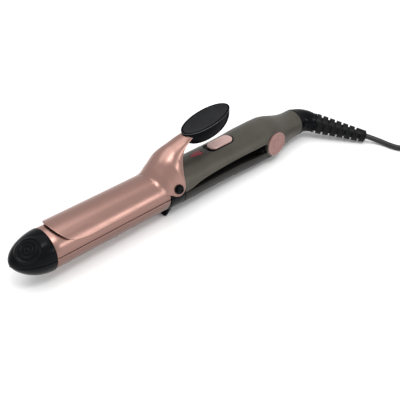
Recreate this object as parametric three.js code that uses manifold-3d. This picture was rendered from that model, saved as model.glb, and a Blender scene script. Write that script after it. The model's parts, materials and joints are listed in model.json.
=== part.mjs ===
// A hair curler that also opens as a straightener: two half-round heated arms on one rear hinge,
// with a sprung clamp over the upper arm. Millimetres, +Z up.
//
// The iron is built in its own axes: X runs along the barrel from the joint between nose and
// barrel (x = 0) towards the cord, the barrel's axis is y = z = 0, and -Y is the near side.
// It is then tilted so that it stands on the toe of its stand and on the belly of its handle.
import * as THREE from 'three';
import { mergeVertices } from 'three/addons/utils/BufferGeometryUtils.js';
import Module from 'manifold-3d';

const wasm = await Module();
wasm.setup();

// ---- Driving dimensions ----
const GAP = 0.35; // between neighbouring parts
const BARREL_R = 16;
const BARREL_END = 106;
const BARREL_WALL = 1.4;
const NOSE_LENGTH = 28.5;
const NOSE_R = 16.5;
const SPLIT = 0.2; // each arm stops this far from the mid-plane
const COLLAR_END = 120.3;
const COLLAR_WALL = 2.2;
const HANDLE_FRONT = COLLAR_END + GAP;
const HANDLE_END = 266.7;
const HANDLE_WALL = 2;
const CLAMP_R = 17.3;
const CLAMP_SHEET = 0.9;
const CLAMP_HALF_ANGLE = THREE.MathUtils.degToRad(66);
const CLAMP_PIVOT = { x: 112.3, z: 7.8 };
const ARM_PIVOT = { x: 226, z: 1.5 };
const CHEEK_R = 12;
const STAND_PIVOT = { x: 113.2, z: -13.2 };
const STAND_TOE = { x: 107.7, z: -19.3, r: 1.3, flat: 0.25 };
const THUMB = { x: 156.8, z: 45.4, a: 24.4, b: 11.2, depth: 16.6, pitch: THREE.MathUtils.degToRad(9.7) };
const SWITCH = { x: 174, length: 25, width: 10, travel: 3.4 };
const LENS = { x: 146, length: 12.4, width: 5.8 };
const SWIVEL_Z = -1;
const ELBOW = { bend: THREE.MathUtils.degToRad(58), radius: 16, lead: 1.2, tail: 5.3 };
const ELBOW_ROLL = THREE.MathUtils.degToRad(9.9); // the elbow's outlet points this far below the side
const RELIEF = { length: 45.5, startR: 8.9, endR: 5.2, ribs: 7 };
const CORD_D = 4.8;
const COIL = { x: 203, y: -109.5, r: 28, inner: 18, outer: 38, low: 9.3, high: 13.6 };
const EXIT = { r: 33, turn: THREE.MathUtils.degToRad(10), reach: 28 }; // where the cord leaves the coil
const PLUG = { z: 7.2, neck: 10, length: 34, width: 35, pinSpread: 18.6, pinLength: 18.5 };

// Handle: half height and half width, squareness and centre height along X.
const HANDLE_FORM = [
  [118, 16.75, 2, 0],
  [124, 16.9, 2, 0],
  [150, 16.9, 2, 0],
  [175, 16.85, 2.05, 0],
  [187, 17, 2.12, 0],
  [199, 17.35, 2.2, 0],
  [211, 17.5, 2.2, 0],
  [222, 17.55, 2.2, 0],
  [226, 17.5, 2.2, -0.02],
  [229, 17.4, 2.2, -0.05],
  [235, 16.6, 2.1, -0.2],
  [240, 15.5, 2.05, -0.45],
  [246, 14.1, 2, -0.75],
  [253, 12.7, 2, -0.95],
  [259, 12.05, 2, SWIVEL_Z],
  [268, 12, 2, SWIVEL_Z],
];
const BELLY_X = 226; // the lowest point of the handle
const BELLY_Z = -17.52;
const STANCE = Math.atan2(BELLY_Z - STAND_TOE.z + STAND_TOE.r - STAND_TOE.flat, BELLY_X - STAND_TOE.x);

// The shells part along these edges, which leaves the wedge between the arms: x and height.
const UPPER_EDGE = [
  [120, 0.2],
  [128, 1.1],
  [136, 3],
  [147, 4.2],
  [158, 4.8],
  [170, 5.2],
  [182, 5.5],
  [198, 5.7],
  [216, 5.7],
];
const LOWER_EDGE = [
  [120, -0.2],
  [150, -0.3],
  [182, -0.6],
  [200, -1.6],
  [214, -2.4],
];

// ---- Helpers ----
const vec = (x, y, z) => new THREE.Vector3(x, y, z);
const { sin, cos, sqrt, abs, sign, PI } = Math;

// A smooth curve through the columns of a table whose first column is x.
function smooth(table, column) {
  const slope = (i) => {
    const a = table[Math.max(i - 1, 0)];
    const b = table[Math.min(i + 1, table.length - 1)];
    return (b[column] - a[column]) / (b[0] - a[0]);
  };
  return (x) => {
    let i = table.findIndex((row) => row[0] > x) - 1;
    if (i < 0) i = x < table[0][0] ? 0 : table.length - 2;
    const [p, q] = [table[i], table[i + 1]];
    const span = q[0] - p[0];
    const t = THREE.MathUtils.clamp((x - p[0]) / span, 0, 1);
    const rise = span * (slope(i) * t * (1 - t) ** 2 - slope(i + 1) * t * t * (1 - t));
    return p[column] * (1 + 2 * t) * (1 - t) ** 2 + q[column] * t * t * (3 - 2 * t) + rise;
  };
}

function bodyFrom(points, index) {
  const geometry = new THREE.BufferGeometry();
  geometry.setAttribute('position', new THREE.Float32BufferAttribute(points.flatMap((p) => p.toArray()), 3));
  geometry.setIndex(index);
  return geometry;
}

// The normal of a flat or nearly flat loop, right-handed about its own direction.
function loopNormal(loop) {
  const normal = vec(0, 0, 0);
  loop.forEach((p, i) => normal.add(p.clone().cross(loop[(i + 1) % loop.length])));
  return normal.normalize();
}

// The triangles that close a loop, as indices into it, facing along its normal.
function closing(loop) {
  const normal = loopNormal(loop);
  const right = loop[1].clone().sub(loop[0]).normalize();
  const up = normal.clone().cross(right);
  const flat = loop.map((p) => new THREE.Vector2(p.dot(right), p.dot(up)));
  return THREE.ShapeUtils.triangulateShape(flat, []).map(([a, b, c]) => {
    const turn = flat[b].clone().sub(flat[a]).cross(flat[c].clone().sub(flat[a]));
    return turn > 0 ? [a, b, c] : [a, c, b];
  });
}

// A closed body through a row of loops, each with as many points as the next.
function loft(loops) {
  const count = loops[0].length;
  const last = (loops.length - 1) * count;
  const middle = (loop) => loop.reduce((sum, p) => sum.add(p), vec(0, 0, 0)).divideScalar(count);
  const forward = loopNormal(loops[0]).dot(middle(loops[1]).sub(middle(loops[0]))) > 0;
  const index = [];
  const face = (a, b, c) => index.push(...(forward ? [a, b, c] : [a, c, b]));
  for (let s = 0; s < loops.length - 1; s++)
    for (let i = 0; i < count; i++) {
      const a = s * count + i;
      const b = s * count + ((i + 1) % count);
      face(a, b, b + count);
      face(a, b + count, a + count);
    }
  closing(loops[0]).forEach(([a, b, c]) => face(a, c, b));
  closing(loops.at(-1)).forEach(([a, b, c]) => face(last + a, last + b, last + c));
  return bodyFrom(loops.flat(), index);
}

const steps = (from, to, count) => Array.from({ length: count + 1 }, (_, i) => from + ((to - from) * i) / count);

function solidOf(geometry) {
  const bare = new THREE.BufferGeometry();
  bare.setAttribute('position', geometry.getAttribute('position'));
  if (geometry.index) bare.setIndex(geometry.index);
  const merged = mergeVertices(bare, 1e-4);
  return new wasm.Manifold(
    new wasm.Mesh({
      numProp: 3,
      vertProperties: merged.getAttribute('position').array,
      triVerts: new Uint32Array(merged.index.array),
    }),
  );
}

function geometryOf(solid) {
  const mesh = solid.getMesh();
  const geometry = new THREE.BufferGeometry();
  geometry.setAttribute('position', new THREE.BufferAttribute(mesh.vertProperties, 3));
  geometry.setIndex(new THREE.BufferAttribute(mesh.triVerts, 1));
  return geometry;
}

const combined = (how, first, rest) =>
  geometryOf(rest.reduce((solid, next) => solid[how](solidOf(next)), solidOf(first)));
const cut = (first, ...rest) => combined('subtract', first, rest);
const join = (first, ...rest) => combined('add', first, rest);
const common = (first, ...rest) => combined('intersect', first, rest);

function box(x0, x1, y0, y1, z0, z1) {
  return new THREE.BoxGeometry(x1 - x0, y1 - y0, z1 - z0).translate((x0 + x1) / 2, (y0 + y1) / 2, (z0 + z1) / 2);
}

// A cylinder from y0 to y1 about a line along Y.
function crossCylinder(centre, radius, y0, y1, sides = 24) {
  return new THREE.CylinderGeometry(radius, radius, y1 - y0, sides).translate(centre.x, (y0 + y1) / 2, 0)
    .translate(0, 0, centre.z);
}

// A lathed body about a line along X, from [x, radius] points that start and end on the axis.
function latheX(profile, sides, z = 0) {
  const points = profile.map(([x, r]) => new THREE.Vector2(r, x));
  return new THREE.LatheGeometry(points, sides).rotateZ(-PI / 2).translate(0, 0, z);
}

// A plate with a flat outline in X and Z, from y0 to y1.
function sidePlate(outline, y0, y1) {
  const shape = new THREE.Shape(outline.map(([x, z]) => new THREE.Vector2(x, z)));
  return new THREE.ExtrudeGeometry(shape, { depth: y1 - y0, bevelEnabled: false }).rotateX(PI / 2)
    .translate(0, y1, 0);
}

// A plate with a flat outline in X and Y, from z0 to z1.
function topPlate(outline, z0, z1) {
  const shape = new THREE.Shape(outline.map(([x, y]) => new THREE.Vector2(x, y)));
  return new THREE.ExtrudeGeometry(shape, { depth: z1 - z0, bevelEnabled: false }).translate(0, 0, z0);
}

// A long outline with two round ends, centred on [x, 0].
function pill(x, length, width, steps_ = 8) {
  const r = width / 2;
  const half = length / 2 - r;
  const end = (side) =>
    steps(-PI / 2, PI / 2, steps_).map((a) => [x + side * (half + r * cos(a)), side * r * sin(a)]);
  return [...end(1), ...end(-1)];
}

// A round tube of a few sides through a row of points.
function tube(points, radius, sides, pieces) {
  const corner = (a) => new THREE.Vector2(radius * cos(a), radius * sin(a));
  const section = new THREE.Shape(steps(0, 2 * PI, sides).slice(1).map(corner));
  const extrudePath = new THREE.CatmullRomCurve3(points, false, 'centripetal');
  return new THREE.ExtrudeGeometry(section, { steps: pieces, extrudePath, bevelEnabled: false });
}

// ---- Materials ----
const material = (color, roughness, metalness) => new THREE.MeshStandardMaterial({ color, roughness, metalness });
const ROSE = material(0xa88378, 0.32, 0.9);
const ROSE_TRIM = material(0xbe9e94, 0.4, 0.6);
const TAUPE = material(0x5b5852, 0.45, 0.1);
const BLACK = material(0x18191c, 0.35, 0);
const SATIN_BLACK = material(0x26272a, 0.6, 0);
const CERAMIC = material(0x8d7a74, 0.35, 0.5);
const STEEL = material(0xb0b2b5, 0.35, 1);
const RED = material(0x82303a, 0.15, 0);
const BOARD = material(0x2f5d3a, 0.6, 0);
const BRASS = material(0xc9a75a, 0.3, 1);

const iron = new THREE.Group();
function part(name, geometry, finish, parent = iron) {
  const mesh = new THREE.Mesh(geometry, finish);
  mesh.name = name;
  parent.add(mesh);
  return mesh;
}

// ---- Arms: nose, barrel, plate and heater, once for each side of the mid-plane ----
// side is 1 for the upper arm and -1 for the lower arm.

// A half ring in Y and Z, cut off level at z = side * SPLIT.
function halfRing(x, outer, inner, side, pieces = 16) {
  const arc = (r) => {
    const start = Math.asin(SPLIT / r);
    return steps(start, PI - start, pieces).map((a) => vec(x, r * cos(a), side * r * sin(a)));
  };
  return [...arc(outer), ...arc(inner).reverse()];
}

function noseHalf(side) {
  const stations = [0, 0.2, 0.4, 0.58, 0.72, 0.84, 0.92, 0.97, 0.993];
  const loops = stations.map((t) => {
    const r = NOSE_R * (1 - t ** 1.9) ** (1 / 1.7);
    const lift = 2.3 * t * t;
    const level = side * SPLIT - lift;
    const start = Math.asin(THREE.MathUtils.clamp((side * level) / r, -0.9, 0.9));
    return steps(start, PI - start, 16).map((a) => vec(-NOSE_LENGTH * t, r * cos(a), lift + side * r * sin(a)));
  });
  return loft(loops);
}

function armFront(side, name) {
  part(`tip_${name}`, noseHalf(side), BLACK);
  const barrel = [GAP, BARREL_END].map((x) => halfRing(x, BARREL_R, BARREL_R - BARREL_WALL, side));
  part(`barrel_${name}`, loft(barrel), ROSE);
  const level = (a, b) => (side > 0 ? [a, b] : [-b, -a]);
  part(`plate_${name}`, box(3, 103, -13.9, 13.9, ...level(0.25, 1.65)), CERAMIC);
  part(`heater_${name}`, box(18, 88, -6.5, 6.5, ...level(2, 4.6)), STEEL);
  const bow = (offset) => steps(-1, 1, 10).map((t) => [53 + 32 * t, side * (4.95 + offset + 8 * (1 - t * t))]);
  part(`heater_spring_${name}`, sidePlate([...bow(0), ...bow(0.7).reverse()], -5, 5), STEEL);
}

armFront(1, 'upper');
armFront(-1, 'lower');
part('thermal_fuse', latheX([[92, 0], [92, 1.7], [101, 1.7], [101, 0]], 12, 8), STEEL);

// ---- Collars ----
function collarHalf(side) {
  const radius = (x) => 16.35 + ((x - BARREL_END) / (COLLAR_END - BARREL_END)) * 0.45;
  const loops = [BARREL_END + GAP, COLLAR_END].map((x) => halfRing(x, radius(x), radius(x) - COLLAR_WALL, side));
  return loft(loops);
}

const SCREW_R = 2;
part('collar_upper', cut(collarHalf(1), crossCylinder(CLAMP_PIVOT, SCREW_R + 0.1, -20, 20)), BLACK);

const STAND_HALF_WIDTH = 8.1;
const standWell = box(108.2, 124.4, -STAND_HALF_WIDTH - GAP, STAND_HALF_WIDTH + GAP, -18, -11.2);
const standBore = crossCylinder(STAND_PIVOT, 1.05, -12, 12, 16);
part('collar_lower', cut(collarHalf(-1), standWell, standBore), BLACK);
part('stand_pin', crossCylinder(STAND_PIVOT, 0.95, -9.6, 9.6, 16), STEEL);

// ---- Stand: a leg that folds back into the lower collar ----
function standLeg() {
  const along = new THREE.Vector2(STAND_TOE.x - STAND_PIVOT.x, STAND_TOE.z - STAND_PIVOT.z);
  const angle = along.angle();
  const ring = (centre, radius, from, to) =>
    steps(from, to, 6).map((a) => [centre.x + radius * cos(angle + a), centre.z + radius * sin(angle + a)]);
  const outline = [...ring(STAND_PIVOT, 1.9, PI / 2, 1.5 * PI), ...ring(STAND_TOE, STAND_TOE.r, -PI / 2, PI / 2)];
  const underToe = box(-9, 9, -20, 20, -9, -STAND_TOE.r + STAND_TOE.flat)
    .rotateY(-STANCE).translate(STAND_TOE.x, 0, STAND_TOE.z);
  return cut(sidePlate(outline, -STAND_HALF_WIDTH, STAND_HALF_WIDTH), standBore, underToe);
}
part('stand', standLeg(), BLACK);

// ---- Handle ----
const halfHeight = smooth(HANDLE_FORM, 1);
const squareness = smooth(HANDLE_FORM, 2);
const centreHeight = smooth(HANDLE_FORM, 3);

function handleRing(x, inset, sides = 26) {
  const n = squareness(x);
  const a = halfHeight(x) - inset;
  return steps(0, 2 * PI, sides).slice(1).map((t) => {
    const r = a * (abs(cos(t)) ** n + abs(sin(t)) ** n) ** (-1 / n);
    return vec(x, r * cos(t), centreHeight(x) + r * sin(t));
  });
}

// The handle's outside or, inset, its hollow, from one x to another.
function handleBody(from, to, inset) {
  const inside = [152, 176, 194, 211, 226, 231, 235, 240, 246, 253, 259].filter((x) => x > from + 2 && x < to - 2);
  return loft([from, ...inside, to].map((x) => handleRing(x, inset)));
}

const upperEdge = smooth(UPPER_EDGE, 1);
const lowerEdge = smooth(LOWER_EDGE, 1);

const aroundPivot = (radius, from, to, count) =>
  steps(from, to, count).map((a) => [ARM_PIVOT.x + radius * cos(a), ARM_PIVOT.z + radius * sin(a)]);

const NECK_START = 231; // the shell is closed all round behind here
const upperCut = sidePlate([
  [110, -30],
  [NECK_START, -30],
  [NECK_START, ARM_PIVOT.z - CHEEK_R],
  ...aroundPivot(CHEEK_R, -PI / 2, -PI - 0.35, 9),
  ...steps(212, HANDLE_FRONT, 10).map((x) => [x, upperEdge(x)]),
  [110, SPLIT],
], -30, 30);

const NEAR_CAP_R = 10.4;
const FAR_CAP_R = 6.8;
const CAP_SEAT = 15.9;
const PIN_R = 2.5;
const nearSeat = crossCylinder(ARM_PIVOT, NEAR_CAP_R + GAP, -25, -CAP_SEAT, 32);
const farSeat = crossCylinder(ARM_PIVOT, FAR_CAP_R + GAP, CAP_SEAT - 1, 25, 24);
const hingeBoss = (side) => crossCylinder(ARM_PIVOT, 6, ...(side < 0 ? [-16.2, -12.6] : [12.6, 16.2]), 16);
const BEZEL = { length: SWITCH.length + SWITCH.travel + 2, width: SWITCH.width + 2 };
const BEZEL_X = SWITCH.x - SWITCH.travel / 2;

// The lens outline: pointed at the front, square at the rear.
function lensOutline(inset) {
  const front = LENS.x - LENS.length / 2 + inset;
  const back = LENS.x + LENS.length / 2 - inset;
  const half = LENS.width / 2 - inset;
  const flank = steps(0, 1, 5).map((t) => [front + (back - 1 - front) * t, half * sin((PI / 2) * t ** 0.8)]);
  return [...flank.map(([x, y]) => [x, -y]), [back, -half * 0.7], [back, half * 0.7], ...flank.slice(1).reverse()];
}

function upperShell() {
  const hollow = join(
    handleBody(110, 262.5, HANDLE_WALL),
    latheX([[262, 0], [262, 8.6], [264.4, 8.6], [264.4, 0]], 28, SWIVEL_Z),
  );
  const walls = cut(handleBody(HANDLE_FRONT, HANDLE_END, 0), hollow);
  const withBosses = join(walls, hingeBoss(-1), hingeBoss(1));
  const swivelBore = latheX([[260, 0], [260, 6.2], [270, 6.2], [270, 0]], 28, SWIVEL_Z);
  return cut(
    withBosses,
    upperCut,
    nearSeat,
    farSeat,
    crossCylinder(ARM_PIVOT, PIN_R + 0.1, -20, 20),
    swivelBore,
    topPlate(pill(BEZEL_X, BEZEL.length + 2 * GAP, BEZEL.width + 2 * GAP), 5, 30),
    topPlate(lensOutline(-GAP), 5, 30),
  );
}
part('handle_upper', upperShell(), TAUPE);

function lowerShell() {
  const outline = sidePlate([
    ...steps(212, HANDLE_FRONT, 8).map((x) => [x, lowerEdge(x)]),
    [HANDLE_FRONT, -30],
    [ARM_PIVOT.x, -30],
    ...aroundPivot(CHEEK_R + 0.6, -PI / 2, -PI + 0.34, 8),
  ], -30, 30);
  const outside = handleBody(HANDLE_FRONT, 240, 0);
  const skin = cut(common(outside, outline), handleBody(110, 250, HANDLE_WALL));
  const web = common(outside, box(206, ARM_PIVOT.x, -8, 8, -25, -4));
  const knuckle = crossCylinder(ARM_PIVOT, 8.5, -8, 8);
  return cut(join(skin, web, knuckle), crossCylinder(ARM_PIVOT, PIN_R + 0.1, -20, 20), standWell);
}
part('handle_lower', lowerShell(), TAUPE);

// The black covers inside the wedge, one closing each shell.
function liner(from, to, bottom, top) {
  const loops = steps(from, to, 10).map((x) => {
    const inner = halfHeight(x) - HANDLE_WALL;
    const reach = Math.max(abs(bottom(x)), abs(top(x)));
    const half = sqrt(inner * inner - reach * reach) - GAP;
    return [vec(x, -half, bottom(x)), vec(x, half, bottom(x)), vec(x, half, top(x)), vec(x, -half, top(x))];
  });
  return loft(loops);
}
const LINER = 1.3;
const upperLiner = (x) => upperEdge(x) + 0.5;
const lowerLiner = (x) => lowerEdge(x) - 0.5;
part('liner_upper', liner(124.8, 210, upperLiner, (x) => upperLiner(x) + LINER), SATIN_BLACK);
part('liner_lower', liner(124.8, 204, (x) => lowerLiner(x) - LINER, lowerLiner), SATIN_BLACK);

// Countersunk screws sit in shallow holes of the liners, so each is a short stud under its cover.
function linerScrew(x, z, up) {
  const profile = [[0, 0], [0, 1.9], [0.9, 1.9], [1.6, 1], [6, 1], [6, 0]];
  return latheX(profile, 12).rotateY(up ? -PI / 2 : PI / 2).translate(x, 0, z);
}
part('liner_screw_upper', linerScrew(134, upperLiner(134) + LINER + 2 * GAP, true), STEEL);
part('liner_screw_lower', linerScrew(134, lowerLiner(134) - LINER - GAP, false), STEEL);

// ---- Hinge of the two arms ----
part('hinge_pin', crossCylinder(ARM_PIVOT, PIN_R, -15.6, 14.8), STEEL);
const nearCap = [[0, 0], [0, NEAR_CAP_R], [1, NEAR_CAP_R], [1.4, NEAR_CAP_R - 0.5], [1.4, NEAR_CAP_R - 1],
  [0.95, NEAR_CAP_R - 1.8], [0.95, 4.4], [1.25, 3], [1.3, 0]];
const farCap = [[0, 0], [0, FAR_CAP_R], [1, FAR_CAP_R], [1.3, FAR_CAP_R - 0.5], [1.3, 0]];
part('hinge_cap_near', latheX(nearCap, 24).rotateZ(-PI / 2)
  .translate(ARM_PIVOT.x, -CAP_SEAT - 0.3, ARM_PIVOT.z), ROSE_TRIM);
part('hinge_cap_far', latheX(farCap, 20).rotateZ(PI / 2)
  .translate(ARM_PIVOT.x, CAP_SEAT - 0.7, ARM_PIVOT.z), ROSE_TRIM);

// A wire coil about a line along Y.
function coilSpring(centre, radius, wire, turns, y0, y1) {
  const pieces = turns * 10;
  const wirePath = steps(0, pieces, pieces).map((i) => {
    const a = (i / 10) * 2 * PI;
    return vec(centre.x + radius * cos(a), y0 + ((y1 - y0) * i) / pieces, centre.z + radius * sin(a));
  });
  return tube(wirePath, wire, 5, pieces);
}
part('hinge_spring', coilSpring(ARM_PIVOT, 4.2, 0.5, 3, -11.7, -8.9), STEEL);

// ---- Switch, lens and electronics in the upper handle ----
const BEZEL_TOP = 15.7;
const bezelSlot = topPlate(pill(BEZEL_X, 10, 3.6), 10, 20);
part('switch_bezel', cut(topPlate(pill(BEZEL_X, BEZEL.length, BEZEL.width), 14.2, BEZEL_TOP), bezelSlot), BLACK);

function switchButton() {
  const levels = [[BEZEL_TOP + 0.3, 0], [16.9, 0], [17.4, 0.5], [17.6, 1.6]];
  const cap = loft(levels.map(([z, inset]) =>
    pill(SWITCH.x, SWITCH.length - 2 * inset, SWITCH.width - 2 * inset).map(([x, y]) => vec(x, y, z))));
  return join(cap, box(SWITCH.x - 1.6, SWITCH.x + 1.6, -1.2, 1.2, 13.9, 16.5));
}
part('switch_button', switchButton(), ROSE_TRIM);
part('switch_unit', box(164, 180, -4, 4, 9.7, 13.5), BLACK);
part('circuit_board', box(138, 200, -7, 7, 8.1, 9.35), BOARD);
part('indicator_lens', topPlate(lensOutline(0), 14.4, 17.05), RED);
part('indicator_led', new THREE.CylinderGeometry(1.5, 1.5, 4, 16).rotateX(PI / 2).translate(LENS.x, 0, 11.9), RED);

// ---- Clamp: a curved plate that sweeps up into a hood and a narrow lever ----
// Each station has its crest on the centre line, its edge on either side, and how far round it wraps.
const LEVER_STATIONS = [
  // crest x, z; edge x, y, z; wrap in degrees
  [96.6, 18.2, 102.2, 16.1, 6.5, 66],
  [98.4, 20.3, 106, 17.1, 4.7, 74],
  [100.6, 23.2, 110, 17.6, 2.3, 82],
  [103.4, 26.1, 114.6, 17.7, 1.7, 86],
  [106.4, 28.8, 118.2, 17.6, 4.6, 88],
  [109.8, 31.1, 119.1, 16.9, 9.6, 88],
  [113.4, 33, 119.6, 14.9, 15.4, 86],
  [117, 34.6, 120.9, 12.2, 21.4, 82],
  [121.2, 35.7, 122.6, 9.9, 27, 78],
  [125.6, 36.8, 125.6, 8.1, 31.3, 74],
  [130, 37.9, 129.6, 6.9, 34.2, 70],
  [134.4, 39, 133.9, 5.9, 36, 66],
  [139, 40, 138.5, 5.1, 37.5, 62],
  [148, 41, 147.5, 4.6, 39.3, 60],
];
const CLAMP_HALF = 7; // steps from the crest to each edge

// The front edge runs back round the corners, so a point's x depends on its angle from the top.
function clampFront(t) {
  return 4.6 + 5.3 * (abs(t) / 0.7) ** 2.2 + 12 * Math.max(0, (abs(t) - 0.7) / 0.3) ** 4;
}

function clampGrid() {
  const across = steps(-1, 1, 2 * CLAMP_HALF).map((t) => sin(1.3 * t) / sin(1.3)); // closer near the edges
  const plate = steps(0, 1, 5).map((u) =>
    across.map((t) => {
      const crease = 96 + 5 * Math.max(0, abs(t) - 0.62) / 0.38;
      const x = clampFront(t) + (crease - clampFront(t)) * u;
      const angle = t * CLAMP_HALF_ANGLE;
      const lift = 0.35 * (1 - u) ** 2;
      return vec(x, (CLAMP_R + lift) * sin(angle), (CLAMP_R + lift) * cos(angle));
    }));
  const lever = LEVER_STATIONS.map(([cx, cz, ex, ey, ez, wrap]) => {
    const reach = THREE.MathUtils.degToRad(wrap);
    return across.map((t) => {
      const down = (1 - cos(t * reach)) / (1 - cos(reach));
      return vec(cx + (ex - cx) * down, (ey * sin(t * reach)) / sin(reach), cz + (ez - cz) * down);
    });
  });
  return [...plate, ...lever];
}

// A closed sheet between two offsets of a grid of points, measured inwards along the grid's normals.
function sheet(grid, outer, inner) {
  const rows = grid.length;
  const columns = grid[0].length;
  const at = (r, c) => grid[THREE.MathUtils.clamp(r, 0, rows - 1)][THREE.MathUtils.clamp(c, 0, columns - 1)];
  const offset = (depth) => grid.flatMap((row, r) => row.map((p, c) => {
    const along = at(r + 1, c).clone().sub(at(r - 1, c));
    const across = at(r, c + 1).clone().sub(at(r, c - 1));
    return p.clone().addScaledVector(along.cross(across).normalize(), depth);
  }));
  const size = rows * columns;
  const index = [];
  const quad = (a, b, c, d) => index.push(a, b, c, a, c, d);
  for (let r = 0; r < rows - 1; r++)
    for (let c = 0; c < columns - 1; c++) {
      const a = r * columns + c;
      quad(a, a + 1, a + columns + 1, a + columns);
      quad(size + a, size + a + columns, size + a + columns + 1, size + a + 1);
    }
  const rim = [
    ...steps(0, columns - 1, columns - 1),
    ...steps(1, rows - 1, rows - 2).map((r) => r * columns + columns - 1),
    ...steps(columns - 2, 0, columns - 2).map((c) => (rows - 1) * columns + c),
    ...steps(rows - 2, 1, rows - 3).map((r) => r * columns),
  ];
  rim.forEach((a, i) => {
    const b = rim[(i + 1) % rim.length];
    quad(a, size + a, size + b, b);
  });
  return bodyFrom([...offset(outer), ...offset(inner)], index);
}

const clampSurface = clampGrid();
const earHoles = crossCylinder(CLAMP_PIVOT, SCREW_R + 0.35, -25, 25);
part('clamp', cut(sheet(clampSurface, 0, CLAMP_SHEET), earHoles), ROSE);

function clampScrew(side) {
  const head = [[0, 0], [0, 3.9], [1.2, 3.9], [2, 3.2], [2.3, 1.8], [2.3, 0]];
  const turn = side < 0 ? -PI / 2 : PI / 2;
  const cap = latheX(head, 20).rotateZ(turn).translate(CLAMP_PIVOT.x, side * 18.4, CLAMP_PIVOT.z);
  const shaft = crossCylinder(CLAMP_PIVOT, SCREW_R, ...(side < 0 ? [-18.6, -12.6] : [12.6, 18.6]));
  return join(cap, shaft);
}
part('clamp_screw_near', clampScrew(-1), BLACK);
part('clamp_screw_far', clampScrew(1), BLACK);
part('clamp_spring', coilSpring({ x: 112.3, z: 19.9 }, 2.3, 0.5, 5, -4.5, 4.5), STEEL);

// ---- Thumb rest: a deep oval bowl on the end of the lever, with a dished pad in its top ----
function thumbRing(down, inset, level, count = 24) {
  const shrink = (1 - down ** 2.77) ** (1 / 2.77);
  return steps(0, 2 * PI, count).slice(1).map((t) => {
    const u = (THUMB.a - inset) * shrink * cos(t);
    const v = (THUMB.b - inset) * shrink * sin(t);
    const [c, s] = [cos(THUMB.pitch), sin(THUMB.pitch)];
    return vec(THUMB.x + u * c - level * s, v, THUMB.z + u * s + level * c);
  });
}
const bowl = loft([0, 0.35, 0.6, 0.78, 0.9, 0.96, 0.99].map((h) => thumbRing(h, 0, -THUMB.depth * h)));
const padWell = loft([thumbRing(0, 1.2, -1.7), thumbRing(0, 1.2, 5)]);
const aroundTongue = clampSurface.slice(-8).map((row) => row.map((p) => {
  const outwards = p.y / abs(row[0].y);
  return p.clone().add(vec(0, 0.7 * outwards, -0.6 * abs(outwards)));
}));
const leverRoom = sheet(aroundTongue, -GAP, CLAMP_SHEET + 1);
const tongueEnd = box(147, 149, -6, 6, 36, 43);
part('thumb_rest_base', cut(bowl, padWell, leverRoom, tongueEnd), SATIN_BLACK);
part('thumb_rest_pad', loft([thumbRing(0, 1.5, -1.35), thumbRing(0, 1.5, -0.5), thumbRing(0, 2.1, -0.1)]), SATIN_BLACK);

// ---- Swivel: an elbow that turns in the end of the neck, with the cord's strain relief ----
const swivel = new THREE.Group();
swivel.position.set(HANDLE_END + GAP, 0, SWIVEL_Z);
swivel.rotation.x = ELBOW_ROLL;
iron.add(swivel);

// Points of the elbow's centre line, in the swivel's own axes, by distance along it.
function elbowPoint(s) {
  const arc = ELBOW.bend * ELBOW.radius;
  if (s <= ELBOW.lead) return { at: vec(s, 0, 0), turn: 0 };
  const a = Math.min((s - ELBOW.lead) / ELBOW.radius, ELBOW.bend);
  const straight = Math.max(0, s - ELBOW.lead - arc);
  return {
    at: vec(
      ELBOW.lead + ELBOW.radius * sin(a) + straight * cos(a),
      -ELBOW.radius * (1 - cos(a)) - straight * sin(a),
      0,
    ),
    turn: a,
  };
}
const ELBOW_LENGTH = ELBOW.lead + ELBOW.bend * ELBOW.radius + ELBOW.tail;

function acrossElbow(s, radius, count = 18) {
  const { at, turn } = elbowPoint(s);
  return steps(0, 2 * PI, count).slice(1).map((t) =>
    at.clone().add(vec(radius * cos(t) * sin(turn), radius * cos(t) * cos(turn), radius * sin(t))));
}

function elbow() {
  const radii = [[0, 11.3], [0.6, 11.9], [1.8, 11.9], [2.2, 11.4], [6.5, 11], [11, 10.4], [15.5, 9.7]];
  const loops = [...radii, [ELBOW_LENGTH, RELIEF.startR]].map(([s, r]) => acrossElbow(s, r));
  const spigot = latheX([[-4.6, 0], [-4.6, 4], [-2.6, 4], [-2.6, 5.9], [1, 5.9], [1, 0]], 24);
  return join(loft(loops), spigot);
}
part('swivel_elbow', elbow(), BLACK, swivel);
const retainer = cut(
  latheX([[-4.4, 0], [-4.4, 7.6], [-3, 7.6], [-3, 0]], 24),
  latheX([[-6, 0], [-6, 4.3], [0, 4.3], [0, 0]], 24),
);
part('swivel_retainer', retainer, STEEL, swivel);

// Strain relief: seven broad ribs on a tapering core.
function reliefProfile() {
  const pitch = RELIEF.length / RELIEF.ribs;
  const radius = (x) => THREE.MathUtils.lerp(RELIEF.startR, RELIEF.endR, x / RELIEF.length);
  const ribs = steps(0, RELIEF.ribs - 1, RELIEF.ribs - 1).flatMap((i) => {
    const [a, b] = [i * pitch + 0.8, (i + 1) * pitch - 0.8];
    return [[a - 0.3, radius(a) - 1.3], [a, radius(a)], [b, radius(b)], [b + 0.3, radius(b) - 1.3]];
  });
  ribs[0] = [0, RELIEF.startR - 1.3];
  ribs[ribs.length - 1] = [RELIEF.length, RELIEF.endR];
  ribs[ribs.length - 2] = [RELIEF.length - 0.6, RELIEF.endR];
  return [[0, 0], ...ribs, [RELIEF.length, 0]];
}
const reliefStart = elbowPoint(ELBOW_LENGTH + GAP);
const relief = latheX(reliefProfile(), 14).rotateZ(-reliefStart.turn)
  .translate(...reliefStart.at.toArray());
part('strain_relief', relief, BLACK, swivel);

// ---- Stance: tilt the iron onto its stand and belly, with the origin under the middle of its box ----
iron.rotation.y = STANCE;
const curler = new THREE.Group();
curler.add(iron);
curler.updateMatrixWorld(true);
const stance = new THREE.Box3().setFromObject(curler, true);
const middle = stance.getCenter(vec(0, 0, 0));
iron.position.set(-middle.x, -middle.y, -stance.min.z);

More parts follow.
